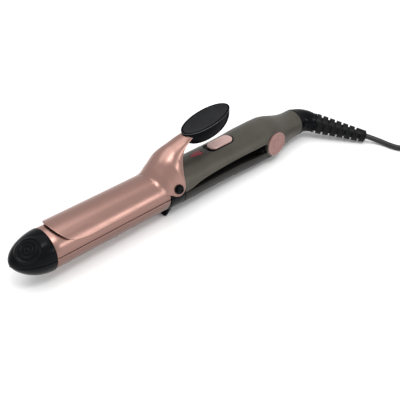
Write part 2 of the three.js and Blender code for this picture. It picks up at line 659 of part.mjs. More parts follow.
// ---- Cord: it leaves the relief, lies on the surface and ends wound up in a tied coil with its plug ----
const cordLead = [
  [167.2, -35.6, 6],
  [169.6, -39.2, 4.8],
  [172, -43.4, 3.5],
  [173.7, -48.2, 2.8],
  [174.6, -54, 2.45],
  [176.1, -61.7, 2.45],
  [180.5, -68.2, 2.45],
  [183.8, -70.9, 2.6],
];
// A point on the cord past the coil, by its distance from where it leaves.
const leaving = (d, z) => vec(
  COIL.x - EXIT.r * sin(EXIT.turn) - d * cos(EXIT.turn),
  COIL.y - EXIT.r * cos(EXIT.turn) + d * sin(EXIT.turn),
  z,
);
const cordTail = [leaving(24.2, 8.6), leaving(25.5, 8.2), leaving(26.8, 7.9)];
part('cord_lead', tube(cordLead.map((p) => vec(...p)), CORD_D / 2, 8, 10), BLACK, curler);
part('cord_tail', tube(cordTail, CORD_D / 2, 8, 2), BLACK, curler);

const TIE = { half: 4, sheet: 0.5, slack: 0.95 };
const tieSpace = 0.1 + TIE.sheet + GAP; // the coil is lifted this much over the tie

// The coil's section: two full layers and a narrower one on top, grown by a margin.
function coilSection(margin, bottom) {
  return [
    [COIL.inner - margin, bottom],
    [COIL.outer + margin, bottom],
    [COIL.outer + margin, COIL.low + margin],
    [COIL.outer - 2.2 + margin, COIL.high + margin],
    [COIL.r + 2.2 - margin, COIL.high + margin],
    [COIL.r - margin, COIL.low + margin],
    [COIL.inner - margin, COIL.low + margin],
  ];
}

function cordCoil() {
  const profile = coilSection(0, 0.1);
  const points = [...profile, profile[0]].map(([r, z]) => new THREE.Vector2(r, z));
  const ring = new THREE.LatheGeometry(points, 28).rotateX(PI / 2).translate(COIL.x, COIL.y, 0);
  const under = box(COIL.x, COIL.x + 60, COIL.y - TIE.half - GAP, COIL.y + TIE.half + GAP, -1, tieSpace);
  return cut(ring, under);
}
part('cord_coil', cordCoil(), BLACK, curler);

function coilTie() {
  const loop = (margin, bottom) => coilSection(margin, bottom).map(([r, z]) => [COIL.x + r, z]);
  const outside = sidePlate(loop(TIE.slack + TIE.sheet, 0.1), COIL.y - TIE.half, COIL.y + TIE.half);
  const inside = sidePlate(loop(TIE.slack, 0.1 + TIE.sheet), COIL.y - TIE.half - 1, COIL.y + TIE.half + 1);
  return cut(outside, inside);
}
part('coil_tie', coilTie(), SATIN_BLACK, curler);

// The plug's own axes start at the mouth of its neck, with X pointing out of it.
const plug = new THREE.Group();
plug.position.copy(leaving(EXIT.reach, 0));
plug.rotation.z = -EXIT.turn;
curler.add(plug);
const plugFront = -PLUG.neck - PLUG.length;

function plugBody() {
  const half = PLUG.width / 2;
  const rear = -PLUG.neck;
  const flank = plugFront + 15;
  const outline = [[plugFront, -half + 3], [plugFront + 3, -half], [flank, -half], [rear, -6], [rear, 6],
    [flank, half], [plugFront + 3, half], [plugFront, half - 3]];
  const slab = topPlate(outline, 0.15, 2 * PLUG.z - 0.15);
  const neck = latheX([[rear - 2, 0], [rear - 2, 4.8], [rear + 3, 4.6], [0, 3.4], [0, 0]], 16, PLUG.z);
  return join(slab, neck);
}
part('plug_body', plugBody(), SATIN_BLACK, plug);

function plugPin(side) {
  const profile = [[0, 0], [1, 1.6], [1.8, 2], [PLUG.pinLength, 2], [PLUG.pinLength, 0]];
  return latheX(profile, 14, PLUG.z).translate(
    plugFront - GAP - PLUG.pinLength, (side * PLUG.pinSpread) / 2, 0);
}
part('plug_pin_near', plugPin(-1), BRASS, plug);
part('plug_pin_far', plugPin(1), BRASS, plug);

export default curler;
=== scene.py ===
"""The curling iron's looks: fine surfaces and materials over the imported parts. Lengths are in
millimetres in the iron's own axes (X along the barrel from the nose joint, -Y the near side),
and placed() turns them into the row's frame in metres."""
import json
import math
import bmesh
import bpy
import numpy as np
from mathutils import Matrix, Vector


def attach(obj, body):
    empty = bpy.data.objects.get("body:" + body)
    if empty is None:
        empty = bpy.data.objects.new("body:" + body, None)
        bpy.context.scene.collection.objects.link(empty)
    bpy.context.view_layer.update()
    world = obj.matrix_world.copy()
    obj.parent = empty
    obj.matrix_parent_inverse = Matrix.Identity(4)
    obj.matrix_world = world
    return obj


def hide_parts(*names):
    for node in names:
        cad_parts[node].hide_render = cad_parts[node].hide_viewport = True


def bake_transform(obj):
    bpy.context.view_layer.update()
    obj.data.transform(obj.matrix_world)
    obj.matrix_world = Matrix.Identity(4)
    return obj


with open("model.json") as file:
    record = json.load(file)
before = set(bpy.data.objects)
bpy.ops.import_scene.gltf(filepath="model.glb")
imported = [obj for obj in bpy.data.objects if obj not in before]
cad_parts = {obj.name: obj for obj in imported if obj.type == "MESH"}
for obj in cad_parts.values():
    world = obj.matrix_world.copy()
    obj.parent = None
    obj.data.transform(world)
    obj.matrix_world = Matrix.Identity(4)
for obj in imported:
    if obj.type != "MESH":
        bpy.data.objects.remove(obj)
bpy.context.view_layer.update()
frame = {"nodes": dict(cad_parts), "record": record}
scene = bpy.context.scene
PI = math.pi

# ---- The iron's stance in the row's frame ----
TILT = math.atan2(2.83, 118.3)
SHIFT = np.array([-142.335, 16.143, 22.92])


def turned(v):
    """Directions in the iron's axes, as directions in the row's frame."""
    v = np.asarray(v, float).reshape(-1, 3)
    c, s = math.cos(TILT), math.sin(TILT)
    return np.column_stack([v[:, 0] * c + v[:, 2] * s, v[:, 1], v[:, 2] * c - v[:, 0] * s])


def placed(points):
    """Points of the iron in millimetres, as row frame points in metres."""
    return (turned(points) + SHIFT) / 1000


# ---- Camera: the photograph's viewing angle ----
CAMERA_AT = (-0.37049, -0.3723, 0.38598)
CAMERA_AZIMUTH, CAMERA_ELEVATION, CAMERA_ROLL = (math.radians(a) for a in (-44.41, 36.179, 0.303))


def make_camera():
    a, e, r = CAMERA_AZIMUTH, CAMERA_ELEVATION, CAMERA_ROLL
    back = Vector((math.sin(a) * math.cos(e), -math.cos(a) * math.cos(e), math.sin(e)))
    right = Vector((math.cos(a), math.sin(a), 0))
    up = back.cross(right)
    right, up = right * math.cos(r) + up * math.sin(r), up * math.cos(r) - right * math.sin(r)
    data = bpy.data.cameras.new("camera")
    data.sensor_width = 36
    data.lens = 72.97
    data.clip_start, data.clip_end = 0.01, 50
    camera = bpy.data.objects.new("camera", data)
    scene.collection.objects.link(camera)
    camera.matrix_world = Matrix((
        (right.x, up.x, back.x, CAMERA_AT[0]),
        (right.y, up.y, back.y, CAMERA_AT[1]),
        (right.z, up.z, back.z, CAMERA_AT[2]),
        (0, 0, 0, 1)))
    scene.camera = camera


make_camera()


# ---- Mesh helpers ----
def object_from(name, points, faces, metres=False):
    """A mesh object from points (iron millimetres unless metres is set) and faces."""
    mesh = bpy.data.meshes.new(name)
    where = np.asarray(points, float) if metres else placed(points)
    mesh.from_pydata([tuple(p) for p in where], [], [tuple(int(i) for i in f) for f in faces])
    bm = bmesh.new()
    bm.from_mesh(mesh)
    bmesh.ops.remove_doubles(bm, verts=bm.verts, dist=2e-6)
    bmesh.ops.recalc_face_normals(bm, faces=bm.faces)
    bm.to_mesh(mesh)
    bm.free()
    obj = bpy.data.objects.new(name, mesh)
    scene.collection.objects.link(obj)
    return obj


def baked(obj):
    """obj with its modifiers applied to its mesh."""
    graph = bpy.context.evaluated_depsgraph_get()
    mesh = bpy.data.meshes.new_from_object(obj.evaluated_get(graph))
    obj.modifiers.clear()
    obj.data = mesh
    return obj


def finished(obj, material, body=None, replaces=(), sharp=38):
    """Smooth shading with crisp edges, the material, and what the piece rides on and stands for."""
    for polygon in obj.data.polygons:
        polygon.use_smooth = True
    obj.data.set_sharp_from_angle(angle=math.radians(sharp))
    obj.data.materials.clear()
    obj.data.materials.append(material)
    if body:
        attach(obj, body)
    if replaces:
        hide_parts(*replaces)
    return obj


def carved(obj, cutters, operation="DIFFERENCE"):
    for cutter in cutters:
        modifier = obj.modifiers.new("carve", "BOOLEAN")
        modifier.operation = operation
        modifier.solver = "EXACT"
        modifier.object = cutter
        baked(obj)
        bpy.data.objects.remove(cutter)
    return obj


def bevelled(obj, width, segments=2, angle=35):
    modifier = obj.modifiers.new("bevel", "BEVEL")
    modifier.width = width / 1000
    modifier.segments = segments
    modifier.limit_method = "ANGLE"
    modifier.angle_limit = math.radians(angle)
    modifier.harden_normals = False
    return baked(obj)


def lofted(name, loops, metres=False, ends=True):
    """A closed body through loops with the same number of points."""
    loops = [np.asarray(loop, float) for loop in loops]
    n = len(loops[0])
    faces = []
    for s in range(len(loops) - 1):
        for i in range(n):
            j = (i + 1) % n
            faces.append((s * n + i, s * n + j, (s + 1) * n + j, (s + 1) * n + i))
    if ends:
        faces.append(tuple(range(n)))
        faces.append(tuple((len(loops) - 1) * n + i for i in range(n)))
    return object_from(name, np.vstack(loops), faces, metres)


def circle(n, start=0.0):
    return start + np.linspace(0, 2 * PI, n, endpoint=False)


def lathed(name, profile, origin, axis, sides=64):
    """A body turned about a line: profile is [distance along, radius], in iron millimetres."""
    axis = np.asarray(axis, float) / np.linalg.norm(axis)
    side = np.cross(axis, (0, 0, 1)) if abs(axis[2]) < 0.9 else np.cross(axis, (1, 0, 0))
    side = side / np.linalg.norm(side)
    other = np.cross(axis, side)
    t = circle(sides)
    ring = np.outer(np.cos(t), side) + np.outer(np.sin(t), other)
    loops = [np.asarray(origin, float) + axis * a + ring * max(r, 0.01) for a, r in profile]
    return lofted(name, loops)


def rounded_profile(corners, radius, pieces=4):
    """A profile of [along, radius] corners with each inner corner rounded."""
    out = [corners[0]]
    for before, at, after in zip(corners, corners[1:], corners[2:]):
        b, p, a = (np.array(v, float) for v in (before, at, after))
        r = min(radius, 0.45 * np.linalg.norm(b - p), 0.45 * np.linalg.norm(a - p))
        start = p + (b - p) / max(np.linalg.norm(b - p), 1e-9) * r
        end = p + (a - p) / max(np.linalg.norm(a - p), 1e-9) * r
        for t in np.linspace(0, 1, pieces + 1):
            out.append(tuple((1 - t) ** 2 * start + 2 * t * (1 - t) * p + t * t * end))
    out.append(corners[-1])
    return out


def plate(name, outline, axis, low, high):
    """A flat outline pushed along an axis: outline is (x, z) for axis 1 and (x, y) for axis 2."""
    def at(level):
        if axis == 1:
            return [(x, level, z) for x, z in outline]
        return [(x, y, level) for x, y in outline]
    return lofted(name, [at(low), at(high)])


def along(rows, column):
    """A smooth curve through a column of a table whose first column is x."""
    rows = np.asarray(rows, float)
    x, y = rows[:, 0], rows[:, column]
    slope = np.empty(len(x))
    slope[1:-1] = (y[2:] - y[:-2]) / (x[2:] - x[:-2])
    slope[0] = (y[1] - y[0]) / (x[1] - x[0])
    slope[-1] = (y[-1] - y[-2]) / (x[-1] - x[-2])

    def value(at):
        i = int(np.clip(np.searchsorted(x, at) - 1, 0, len(x) - 2))
        span = x[i + 1] - x[i]
        t = float(np.clip((at - x[i]) / span, 0, 1))
        h = (1 + 2 * t) * (1 - t) ** 2 * y[i] + t * t * (3 - 2 * t) * y[i + 1]
        return h + span * (slope[i] * t * (1 - t) ** 2 - slope[i + 1] * t * t * (1 - t))
    return value


def sampled(rows, count):
    """Rows of numbers resampled on a Catmull-Rom curve, count steps to each gap."""
    rows = np.asarray(rows, float)
    padded_rows = np.vstack([2 * rows[0] - rows[1], rows, 2 * rows[-1] - rows[-2]])
    out = []
    for i in range(1, len(padded_rows) - 2):
        a, b, c, d = padded_rows[i - 1:i + 3]
        steps = count if np.isscalar(count) else count[i - 1]
        for t in np.linspace(0, 1, steps, endpoint=False):
            out.append(0.5 * (2 * b + (c - a) * t + (2 * a - 5 * b + 4 * c - d) * t * t
                              + (3 * b - a - 3 * c + d) * t ** 3))
    out.append(rows[-1])
    return np.array(out)


# ---- Materials ----
class Nodes:
    """A small builder for a procedural material around one Principled shader."""

    def __init__(self, name):
        self.material = bpy.data.materials.new(name)
        self.material.use_nodes = True
        self.tree = self.material.node_tree
        self.shader = self.tree.nodes["Principled BSDF"]
        self.place = self.tree.nodes.new("ShaderNodeTexCoord").outputs["Object"]
        self.height = None

    def link(self, a, b):
        self.tree.links.new(a, b)

    def set(self, **values):
        for key, value in values.items():
            self.shader.inputs[key.replace("_", " ")].default_value = value
        return self

    def noise(self, scale, detail=3, stretch=(1, 1, 1), roughness=0.55):
        """Noise with scale cells per metre, stretched along the iron's axes."""
        mapping = self.tree.nodes.new("ShaderNodeMapping")
        mapping.inputs["Rotation"].default_value = (0, TILT, 0)
        mapping.inputs["Scale"].default_value = stretch
        texture = self.tree.nodes.new("ShaderNodeTexNoise")
        texture.inputs["Scale"].default_value = scale
        texture.inputs["Detail"].default_value = detail
        texture.inputs["Roughness"].default_value = roughness
        self.link(self.place, mapping.inputs["Vector"])
        self.link(mapping.outputs["Vector"], texture.inputs["Vector"])
        return texture.outputs["Fac"]

    def spread(self, value, low, high, start=0.3, end=0.7):
        node = self.tree.nodes.new("ShaderNodeMapRange")
        for key, v in (("From Min", start), ("From Max", end), ("To Min", low), ("To Max", high)):
            node.inputs[key].default_value = v
        self.link(value, node.inputs["Value"])
        return node.outputs["Result"]

    def colours(self, value, first, second, socket="Base Color"):
        ramp = self.tree.nodes.new("ShaderNodeValToRGB")
        ramp.color_ramp.elements[0].position = 0.3
        ramp.color_ramp.elements[1].position = 0.7
        ramp.color_ramp.elements[0].color = (*first, 1)
        ramp.color_ramp.elements[1].color = (*second, 1)
        self.link(value, ramp.inputs["Fac"])
        self.link(ramp.outputs["Color"], self.shader.inputs[socket])
        return self

    def painted_shade_below(self, low, high, least):
        """Painted shade: scales the base colour from least at one height over the iron's own axis to full at
        another, so the surface darkens towards and below the axis.
        """
        mapping = self.tree.nodes.new("ShaderNodeMapping")
        mapping.inputs["Rotation"].default_value = (0, -TILT, 0)
        parts = self.tree.nodes.new("ShaderNodeSeparateXYZ")
        scale = self.tree.nodes.new("ShaderNodeVectorMath")
        scale.operation = "SCALE"
        self.link(self.place, mapping.inputs["Vector"])
        self.link(mapping.outputs["Vector"], parts.inputs["Vector"])
        self.link(self.shader.inputs["Base Color"].links[0].from_socket, scale.inputs[0])
        self.link(self.spread(parts.outputs["Z"], least, 1, low, high), scale.inputs["Scale"])
        self.link(scale.outputs["Vector"], self.shader.inputs["Base Color"])

    def bump(self, value, depth):
        """Adds a bump whose full height is depth millimetres."""
        node = self.tree.nodes.new("ShaderNodeBump")
        node.inputs["Strength"].default_value = 1.0
        node.inputs["Distance"].default_value = depth / 1000
        self.link(value, node.inputs["Height"])
        if self.height is not None:
            self.link(self.height, node.inputs["Normal"])
        self.height = node.outputs["Normal"]
        self.link(self.height, self.shader.inputs["Normal"])
        return self

    def rough(self, value, low, high):
        self.link(self.spread(value, low, high), self.shader.inputs["Roughness"])
        return self


def rose_metal():
    n = Nodes("rose_metal").set(Metallic=1.0, Specular_IOR_Level=0.4)
    n.colours(n.noise(38, 4, (0.35, 1, 1)), (0.292, 0.172, 0.146), (0.327, 0.196, 0.167))
    # Painted shade: the rose metal's colour falls to 72 % from about 12 mm above the barrel's axis down to the
    # axis, and stays there below it.
    n.painted_shade_below(0.0185, 0.0315, 0.72)
    n.rough(n.noise(420, 3, (0.25, 1, 1)), 0.28, 0.34)
    n.bump(n.noise(5200, 2), 0.004).bump(n.noise(60, 2, (0.4, 1, 1)), 0.003)
    return n.material


def rose_trim(name="rose_trim", shade=1.0, tint=(1, 1, 1)):
    n = Nodes(name).set(Metallic=0.1, Specular_IOR_Level=0.35)
    first, second = (tuple(shade * c * k for c, k in zip(colour, tint))
                     for colour in ((0.36, 0.235, 0.216), (0.42, 0.278, 0.258)))
    n.colours(n.noise(900, 4), first, second)
    n.rough(n.noise(700, 3), 0.36, 0.48)
    n.bump(n.noise(6500, 2), 0.006)
    return n.material


def taupe_shell(name="taupe_shell", shade=1.0):
    n = Nodes(name).set(Metallic=0.5, Specular_IOR_Level=0.12)
    first, second = (0.063, 0.0575, 0.0485), (0.078, 0.0715, 0.061)
    n.colours(n.noise(45, 4), tuple(shade * c for c in first), tuple(shade * c for c in second))
    n.rough(n.noise(500, 3), 0.38, 0.47)
    n.bump(n.noise(4200, 3), 0.008).bump(n.noise(70, 2), 0.012)
    return n.material


def gloss_black(name="gloss_black", shine=0.065):
    n = Nodes(name).set(Specular_IOR_Level=shine)
    n.colours(n.noise(60, 3), (0.0015, 0.0017, 0.0024), (0.003, 0.0033, 0.0042))
    n.rough(n.noise(350, 3), 0.15, 0.22)
    n.bump(n.noise(3800, 2), 0.004).bump(n.noise(120, 2), 0.008)
    return n.material


def satin_black(name="satin_black", low=0.42, high=0.55, grain=0.015, shade=0.0035, shine=0.08):
    n = Nodes(name).set(Specular_IOR_Level=shine)
    n.colours(n.noise(90, 3), tuple(shade * c for c in (0.8, 0.82, 0.95)),
              tuple(shade * c for c in (1.3, 1.33, 1.5)))
    n.rough(n.noise(600, 3), low, high)
    n.bump(n.noise(3000, 3), grain).bump(n.noise(110, 2), 0.01)
    return n.material


def cord_rubber():
    n = Nodes("cord_rubber").set(Specular_IOR_Level=0.4)
    n.colours(n.noise(120, 3), (0.004, 0.004, 0.005), (0.0075, 0.0075, 0.009))
    n.rough(n.noise(500, 2), 0.3, 0.4)
    n.bump(n.noise(2500, 3), 0.012)
    return n.material


def ceramic():
    n = Nodes("plate_ceramic").set(Metallic=0.3, Coat_Weight=0.5, Coat_Roughness=0.1)
    n.colours(n.noise(900, 4), (0.25, 0.185, 0.165), (0.33, 0.25, 0.225))
    n.rough(n.noise(200, 3), 0.22, 0.32)
    n.bump(n.noise(7000, 2), 0.004)
    return n.material


def steel(name="steel", colour=(0.42, 0.43, 0.44)):
    n = Nodes(name).set(Metallic=1.0)
    n.colours(n.noise(300, 3), tuple(0.9 * c for c in colour), colour)
    n.rough(n.noise(900, 4, (0.15, 1, 1)), 0.26, 0.42)
    n.bump(n.noise(3500, 3, (0.15, 1, 1)), 0.006)
    return n.material


def red_lens():
    n = Nodes("lens_red").set(Specular_IOR_Level=0.2)
    n.colours(n.noise(260, 3), (0.15, 0.014, 0.022), (0.22, 0.024, 0.036))
    n.rough(n.noise(700, 2), 0.14, 0.24)
    n.bump(n.noise(1500, 2), 0.006)
    return n.material


def board():
    n = Nodes("board")
    n.colours(n.noise(700, 4), (0.012, 0.07, 0.025), (0.03, 0.12, 0.05))
    n.rough(n.noise(900, 3), 0.35, 0.6)
    n.bump(n.noise(1800, 3), 0.03)
    return n.material


# The trim copy here is 1.22 times brighter: painted light on the switch button's upward-facing top.
ROSE, TRIM_PAINTED_LIGHT, TAUPE = rose_metal(), rose_trim(shade=1.22), taupe_shell()
BLACK, SATIN = gloss_black(), satin_black()
RELIEF, CORD = satin_black("relief_rubber", 0.32, 0.44, 0.012, 0.004, 0.1), cord_rubber()
# A copy of the taupe at 19 % brightness: painted shade on the handle's downward-facing lower shell.
TAUPE_PAINTED_SHADE, CAP_TONE_AND_SHADE = taupe_shell("taupe_shell_painted_shade", 0.19), rose_trim("rose_trim_caps_tone_and_shade", 0.62, (1, 0.8, 0.77))
PAD = satin_black("pad_rubber", 0.45, 0.58, 0.02, 0.009, 0.1)
PLUG = satin_black("plug_plastic", 0.4, 0.52, 0.03)
TIE, CERAMIC, STEEL = satin_black("tie_plastic", 0.45, 0.6, 0.02), ceramic(), steel()
# The rim's light grey, lighter than the bowl, is a painted highlight along the bowl's lip.
BOWL, RIM_PAINTED_HIGHLIGHT = gloss_black("bowl_black", 0.022), satin_black("rim_painted_highlight", 0.25, 0.35, 0.004, 0.05, 0.5)
BRASS, RED, BOARD = steel("pin_brass", (0.62, 0.46, 0.2)), red_lens(), board()


# ---- Cord: out of the relief, along the surface and round into a tied coil with its plug ----
CORD_D = 4.8
COIL_X, COIL_Y = 203.0, -109.5
RELIEF_END = (166.26, -34.06, 6.43)  # row frame, millimetres, as all of the cord's points
CORD_LEAD = [
    (165.2, -32.4, 6.75), RELIEF_END, (167.6, -36.2, 5.9), (170, -39.8, 4.7), (172.4, -44, 3.5),
    (174, -49, 2.7),
    (174.6, -54, 2.45), (176.13, -61.71, 2.45), (180.5, -68.25, 2.45), (187, -72.6, 2.45), (194, -74.1, 2.45),
    (199.5, -74.15, 2.45),
]
EXIT_TURN, EXIT_RADIUS = math.radians(10), 33


def leaving(distance, height):
    """A point on the cord past the coil, by its distance from where it leaves."""
    c, s = math.cos(EXIT_TURN), math.sin(EXIT_TURN)
    return COIL_X - EXIT_RADIUS * s - distance * c, COIL_Y - EXIT_RADIUS * c + distance * s, height


CORD_TAIL = [leaving(*p) for p in ((3, 11.2), (9, 11.5), (14, 11.65), (19, 10.9), (23, 9.3), (26, 8.1),
                                   (28.5, 7.4),
                                   (31.5, 7.2))]
WINDS = [(35.35, 2.45), (30.45, 2.45), (25.55, 2.45), (20.65, 2.45),
         (20.65, 6.8), (25.55, 6.8), (30.45, 6.8), (35.35, 6.8), (33, 11.15), (33, 11.15)]


def coil_points():
    """The turns, clockwise from above, from the far side, stepping between radii over a short arc."""
    radii, heights = [], []
    per_turn = 72
    for i, (r, z) in enumerate(WINDS):
        after = WINDS[min(i + 1, len(WINDS) - 1)]
        last = i == len(WINDS) - 1
        count = round(per_turn * (0.5 + EXIT_TURN / (2 * PI))) if last else per_turn
        for k in range(count):
            t = np.clip((k / per_turn - 0.84) / 0.16, 0, 1) if not last else 0
            ease = t * t * (3 - 2 * t)
            radii.append(r + (after[0] - r) * ease)
            heights.append(z + (after[1] - z) * ease)
    radii, heights = np.array(radii), np.array(heights)
    angle = PI / 2 - 2 * PI * np.arange(len(radii)) / per_turn
    x, y = COIL_X + radii * np.cos(angle), COIL_Y + radii * np.sin(angle)
    over_tie = np.exp(-((y - COIL_Y) / 8) ** 4) * (x > COIL_X)
    heights = heights + 0.9 * over_tie * (heights < 4)
    return np.column_stack([x, y, heights])


def evenly(points, step):
    """Points a fixed distance apart along a polyline."""
    points = np.asarray(points, float)
    travelled = np.concatenate([[0], np.cumsum(np.linalg.norm(np.diff(points, axis=0), axis=1))])
    at = np.linspace(0, travelled[-1], int(travelled[-1] / step) + 1)
    return np.column_stack([np.interp(at, travelled, points[:, k]) for k in range(3)])


def tube_loops(points, radius, sides):
    """Rings round a path that turn with it, and never twist against each other."""
    points = np.asarray(points, float)
    tangent = np.gradient(points, axis=0)
    tangent /= np.linalg.norm(tangent, axis=1)[:, None]
    side = np.cross(tangent[0], (0, 0, 1.0))
    loops = []
    for p, t in zip(points, tangent):
        side = side - t * (side @ t)
        side /= np.linalg.norm(side)
        up = np.cross(t, side)
        a = circle(sides)[:, None]
        loops.append(p + radius * (np.cos(a) * side + np.sin(a) * up))
    return loops


def make_cord(moved_with_it):
    lead, tail = sampled(CORD_LEAD, 8), sampled(CORD_TAIL, 6)
    winding = coil_points()
    route = np.vstack([lead, winding[1:], tail])
    route = evenly(route, 2.2)
    for _ in range(2):
        route[1:-1] = 0.25 * route[:-2] + 0.5 * route[1:-1] + 0.25 * route[2:]
    cord = lofted("cord", [loop / 1000 for loop in tube_loops(route, CORD_D / 2, 14)], metres=True)
    finished(cord, CORD, sharp=60)
    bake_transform(cord)
    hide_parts("cord_lead", "cord_tail", "cord_coil")

# ---- Barrels, collars and nose: half rounds with softened edges along the split ----
BARREL_R, BARREL_END, COLLAR_END = 16.0, 106.0, 120.3
SPLIT = 0.2


def rounded_corner(before, corner, after, radius, pieces=4):
    """Points that round a corner between two neighbours."""
    b, p, a = (np.asarray(v, float) for v in (before, corner, after))
    start = p + (b - p) / np.linalg.norm(b - p) * radius
    end = p + (a - p) / np.linalg.norm(a - p) * radius
    return [(1 - t) ** 2 * start + 2 * t * (1 - t) * p + t * t * end for t in np.linspace(0, 1, pieces + 1)]


def arch(x, outer, inner, side, edge, level=SPLIT, pieces=56):
    """A half ring in Y and Z whose outer edges along the split are rounded."""
    first = math.asin(level / outer)
    corner = (outer * math.cos(first), level)
    inside = (inner * math.cos(math.asin(level / inner)), level)
    turn = first + edge / outer
    after = (outer * math.cos(turn), outer * math.sin(turn))
    right = rounded_corner(inside, corner, after, edge)
    middle = [(outer * math.cos(a), outer * math.sin(a)) for a in np.linspace(turn, PI - turn,
                                                                              pieces + 1)[1:-1]]
    left = [(-y, z) for y, z in reversed(right)]
    start = math.asin(level / inner)
    back = [(inner * math.cos(a), inner * math.sin(a)) for a in np.linspace(PI - start, start, pieces + 1)]
    return [(x, y, side * z) for y, z in [*right, *middle, *left, *back]]


def tube_half(name, stations, wall, side, edge):
    return lofted(name, [arch(x, r, r - wall, side, edge) for x, r in stations])


def make_barrels():
    for side, arm, edge in ((1, "upper", 0.95), (-1, "lower", 0.7)):
        stations = [(0.35, 15.6), (0.45, 15.85), (0.75, BARREL_R),
                    *((x, BARREL_R) for x in np.linspace(6, 100, 20)),
                    (105.5, BARREL_R), (105.85, 15.85), (BARREL_END, 15.55)]
        barrel = tube_half("barrel_skin_" + arm, stations, 1.35, side, edge)
        finished(barrel, ROSE, arm + "_arm", ["barrel_" + arm])
        low = BARREL_END + 0.35
        stations = [(low, 16.0), (low + 0.15, 16.25), (low + 0.5, 16.36), (110, 16.46), (114, 16.59),
                    (118, 16.72), (119.8, 16.79), (120.15, 16.68), (COLLAR_END, 16.4)]
        collar = tube_half("collar_skin_" + arm, stations, 1.9, side, 0.4)
        if side < 0:
            well = plate("well", [(108.2, -18.5), (122, -18.5), (122, -11.2), (108.2, -11.2)], 1, -8.45, 8.45)
            collar = carved(collar, [well])
        finished(collar, BLACK, arm + "_arm", ["collar_" + arm])


make_barrels()

# The upper nose has plain oval ridges around a point of its front.
NOSE_LENGTH, NOSE_R = 28.5, 16.5
RIDGE_AT = np.array([-16.8, -5.6, 12.1])


def nose_point(t, a, side):
    r = NOSE_R * (1 - t ** 1.9) ** (1 / 1.7)
    return np.array([-NOSE_LENGTH * t, r * math.cos(a), 2.3 * t * t + side * r * math.sin(a)])


def nose_ridges(p, normal):
    """How far the surface stands out at p: ovals that are longer along the nose than across it."""
    away = p - RIDGE_AT
    lengthwise = np.array([-0.62, -0.2, -0.76])
    lengthwise -= normal * (lengthwise @ normal)
    lengthwise /= np.linalg.norm(lengthwise)
    d = math.hypot(away @ lengthwise * 0.88, np.linalg.norm(away - lengthwise * (away @ lengthwise)))
    ridges = sum(h * math.exp(-((d - r) / w) ** 2) for r, h, w in
                 ((8.2, 0.8, 0.75), (5.2, 0.85, 0.6), (2.7, 0.7, 0.5)))
    return ridges + 0.6 * math.exp(-(d / 0.8) ** 2) - 0.5 * math.exp(-(d / 9) ** 8)


def make_nose():
    for side, arm in ((1, "upper"), (-1, "lower")):
        along_nose = [0.0, 0.004, 0.012, 0.022, *np.linspace(0.04, 0.9, 72), 0.92, 0.94, 0.96, 0.975, 0.987,
                      0.996]
        shrink = {0.0: 0.5, 0.004: 0.22, 0.012: 0.05}
        loops = []
        for t in along_nose:
            r = NOSE_R * (1 - t ** 1.9) ** (1 / 1.7)
            level = side * SPLIT - 2.3 * t * t
            first = math.asin(np.clip(side * level / r, -0.92, 0.92))
            edge = min(0.75, r * 0.1)
            turn = first + edge / r
            angles = np.linspace(turn, PI - turn, 121)
            loop = []
            for a in angles:
                p = nose_point(t, a, side)
                if 0.05 < t < 0.93:
                    step = 1e-3
                    u = nose_point(t + step, a, side) - nose_point(t - step, a, side)
                    v = nose_point(t, a + step, side) - nose_point(t, a - step, side)
                    normal = np.cross(u, v)
                    normal /= np.linalg.norm(normal)
                    if normal @ (p - np.array([p[0] + 3, 0, 0])) < 0:
                        normal = -normal
                    if side > 0 and np.linalg.norm(p - RIDGE_AT) < 15:
                        p = p + normal * nose_ridges(p, normal)
                p[1:] *= 1 - shrink.get(t, 0) / max(r, 1)
                loop.append(p)
            floor_z = side * SPLIT
            wide = r * math.cos(first) * (1 - shrink.get(t, 0) / max(r, 1))
            inset = min(edge, 0.4 * wide)
            right = [np.array([loop[0][0], wide - inset, floor_z]),
                     np.array([loop[0][0], wide - 0.3 * inset, floor_z + side * 0.12 * edge])]
            left = [p * np.array([1, -1, 1]) for p in reversed(right)]
            loops.append([*right, *loop, *left])
        nose = lofted("nose_skin_" + arm, loops)
        finished(nose, BLACK, arm + "_arm", ["tip_" + arm])


make_nose()

# ---- Handle ----
# Half height and half width, squareness and centre height along X.
HANDLE_FORM = [
    (118, 16.75, 2, 0), (124, 16.9, 2, 0), (150, 16.9, 2, 0), (175, 16.85, 2.05, 0), (187, 17, 2.12, 0),
    (199, 17.35, 2.2, 0), (211, 17.5, 2.2, 0), (222, 17.55, 2.2, 0), (226, 17.5, 2.2, -0.02),
    (229, 17.4, 2.2, -0.05), (235, 16.6, 2.1, -0.2), (240, 15.5, 2.05, -0.45), (246, 14.1, 2, -0.75),
    (253, 12.7, 2, -0.95), (259, 12.05, 2, -1), (268, 12, 2, -1)]
UPPER_EDGE = [(120, 0.2), (128, 1.1), (136, 3), (147, 4.2), (158, 4.8), (170, 5.2), (182, 5.5), (198, 5.7),
              (216, 5.7)]
LOWER_EDGE = [(120, -0.2), (150, -0.3), (182, -0.6), (200, -1.6), (214, -2.4)]
half_height, squareness, centre_height = (along(HANDLE_FORM, k) for k in (1, 2, 3))
upper_edge, lower_edge = along(UPPER_EDGE, 1), along(LOWER_EDGE, 1)
PIVOT_X, PIVOT_Z = 226.0, 1.5
HANDLE_FRONT, HANDLE_END, NECK_START = 120.65, 266.7, 231.0


def on_handle(x, angle, inset=0.0):
    """Y and Z of the handle's outside, or inset from it, at an angle from +Y."""
    n, a = squareness(x), half_height(x) - inset
    c, s = math.cos(angle), math.sin(angle)
    r = a * (abs(c) ** n + abs(s) ** n) ** (-1 / n)
    return np.array([r * c, centre_height(x) + r * s])


def angle_at(x, z, inset=0.0):
    """The angle on the +Y side at which the handle's outside is at height z."""
    low, high = -PI / 2, PI / 2
    for _ in range(40):
        middle = (low + high) / 2
        low, high = (middle, high) if on_handle(x, middle, inset)[1] < z else (low, middle)
    return (low + high) / 2


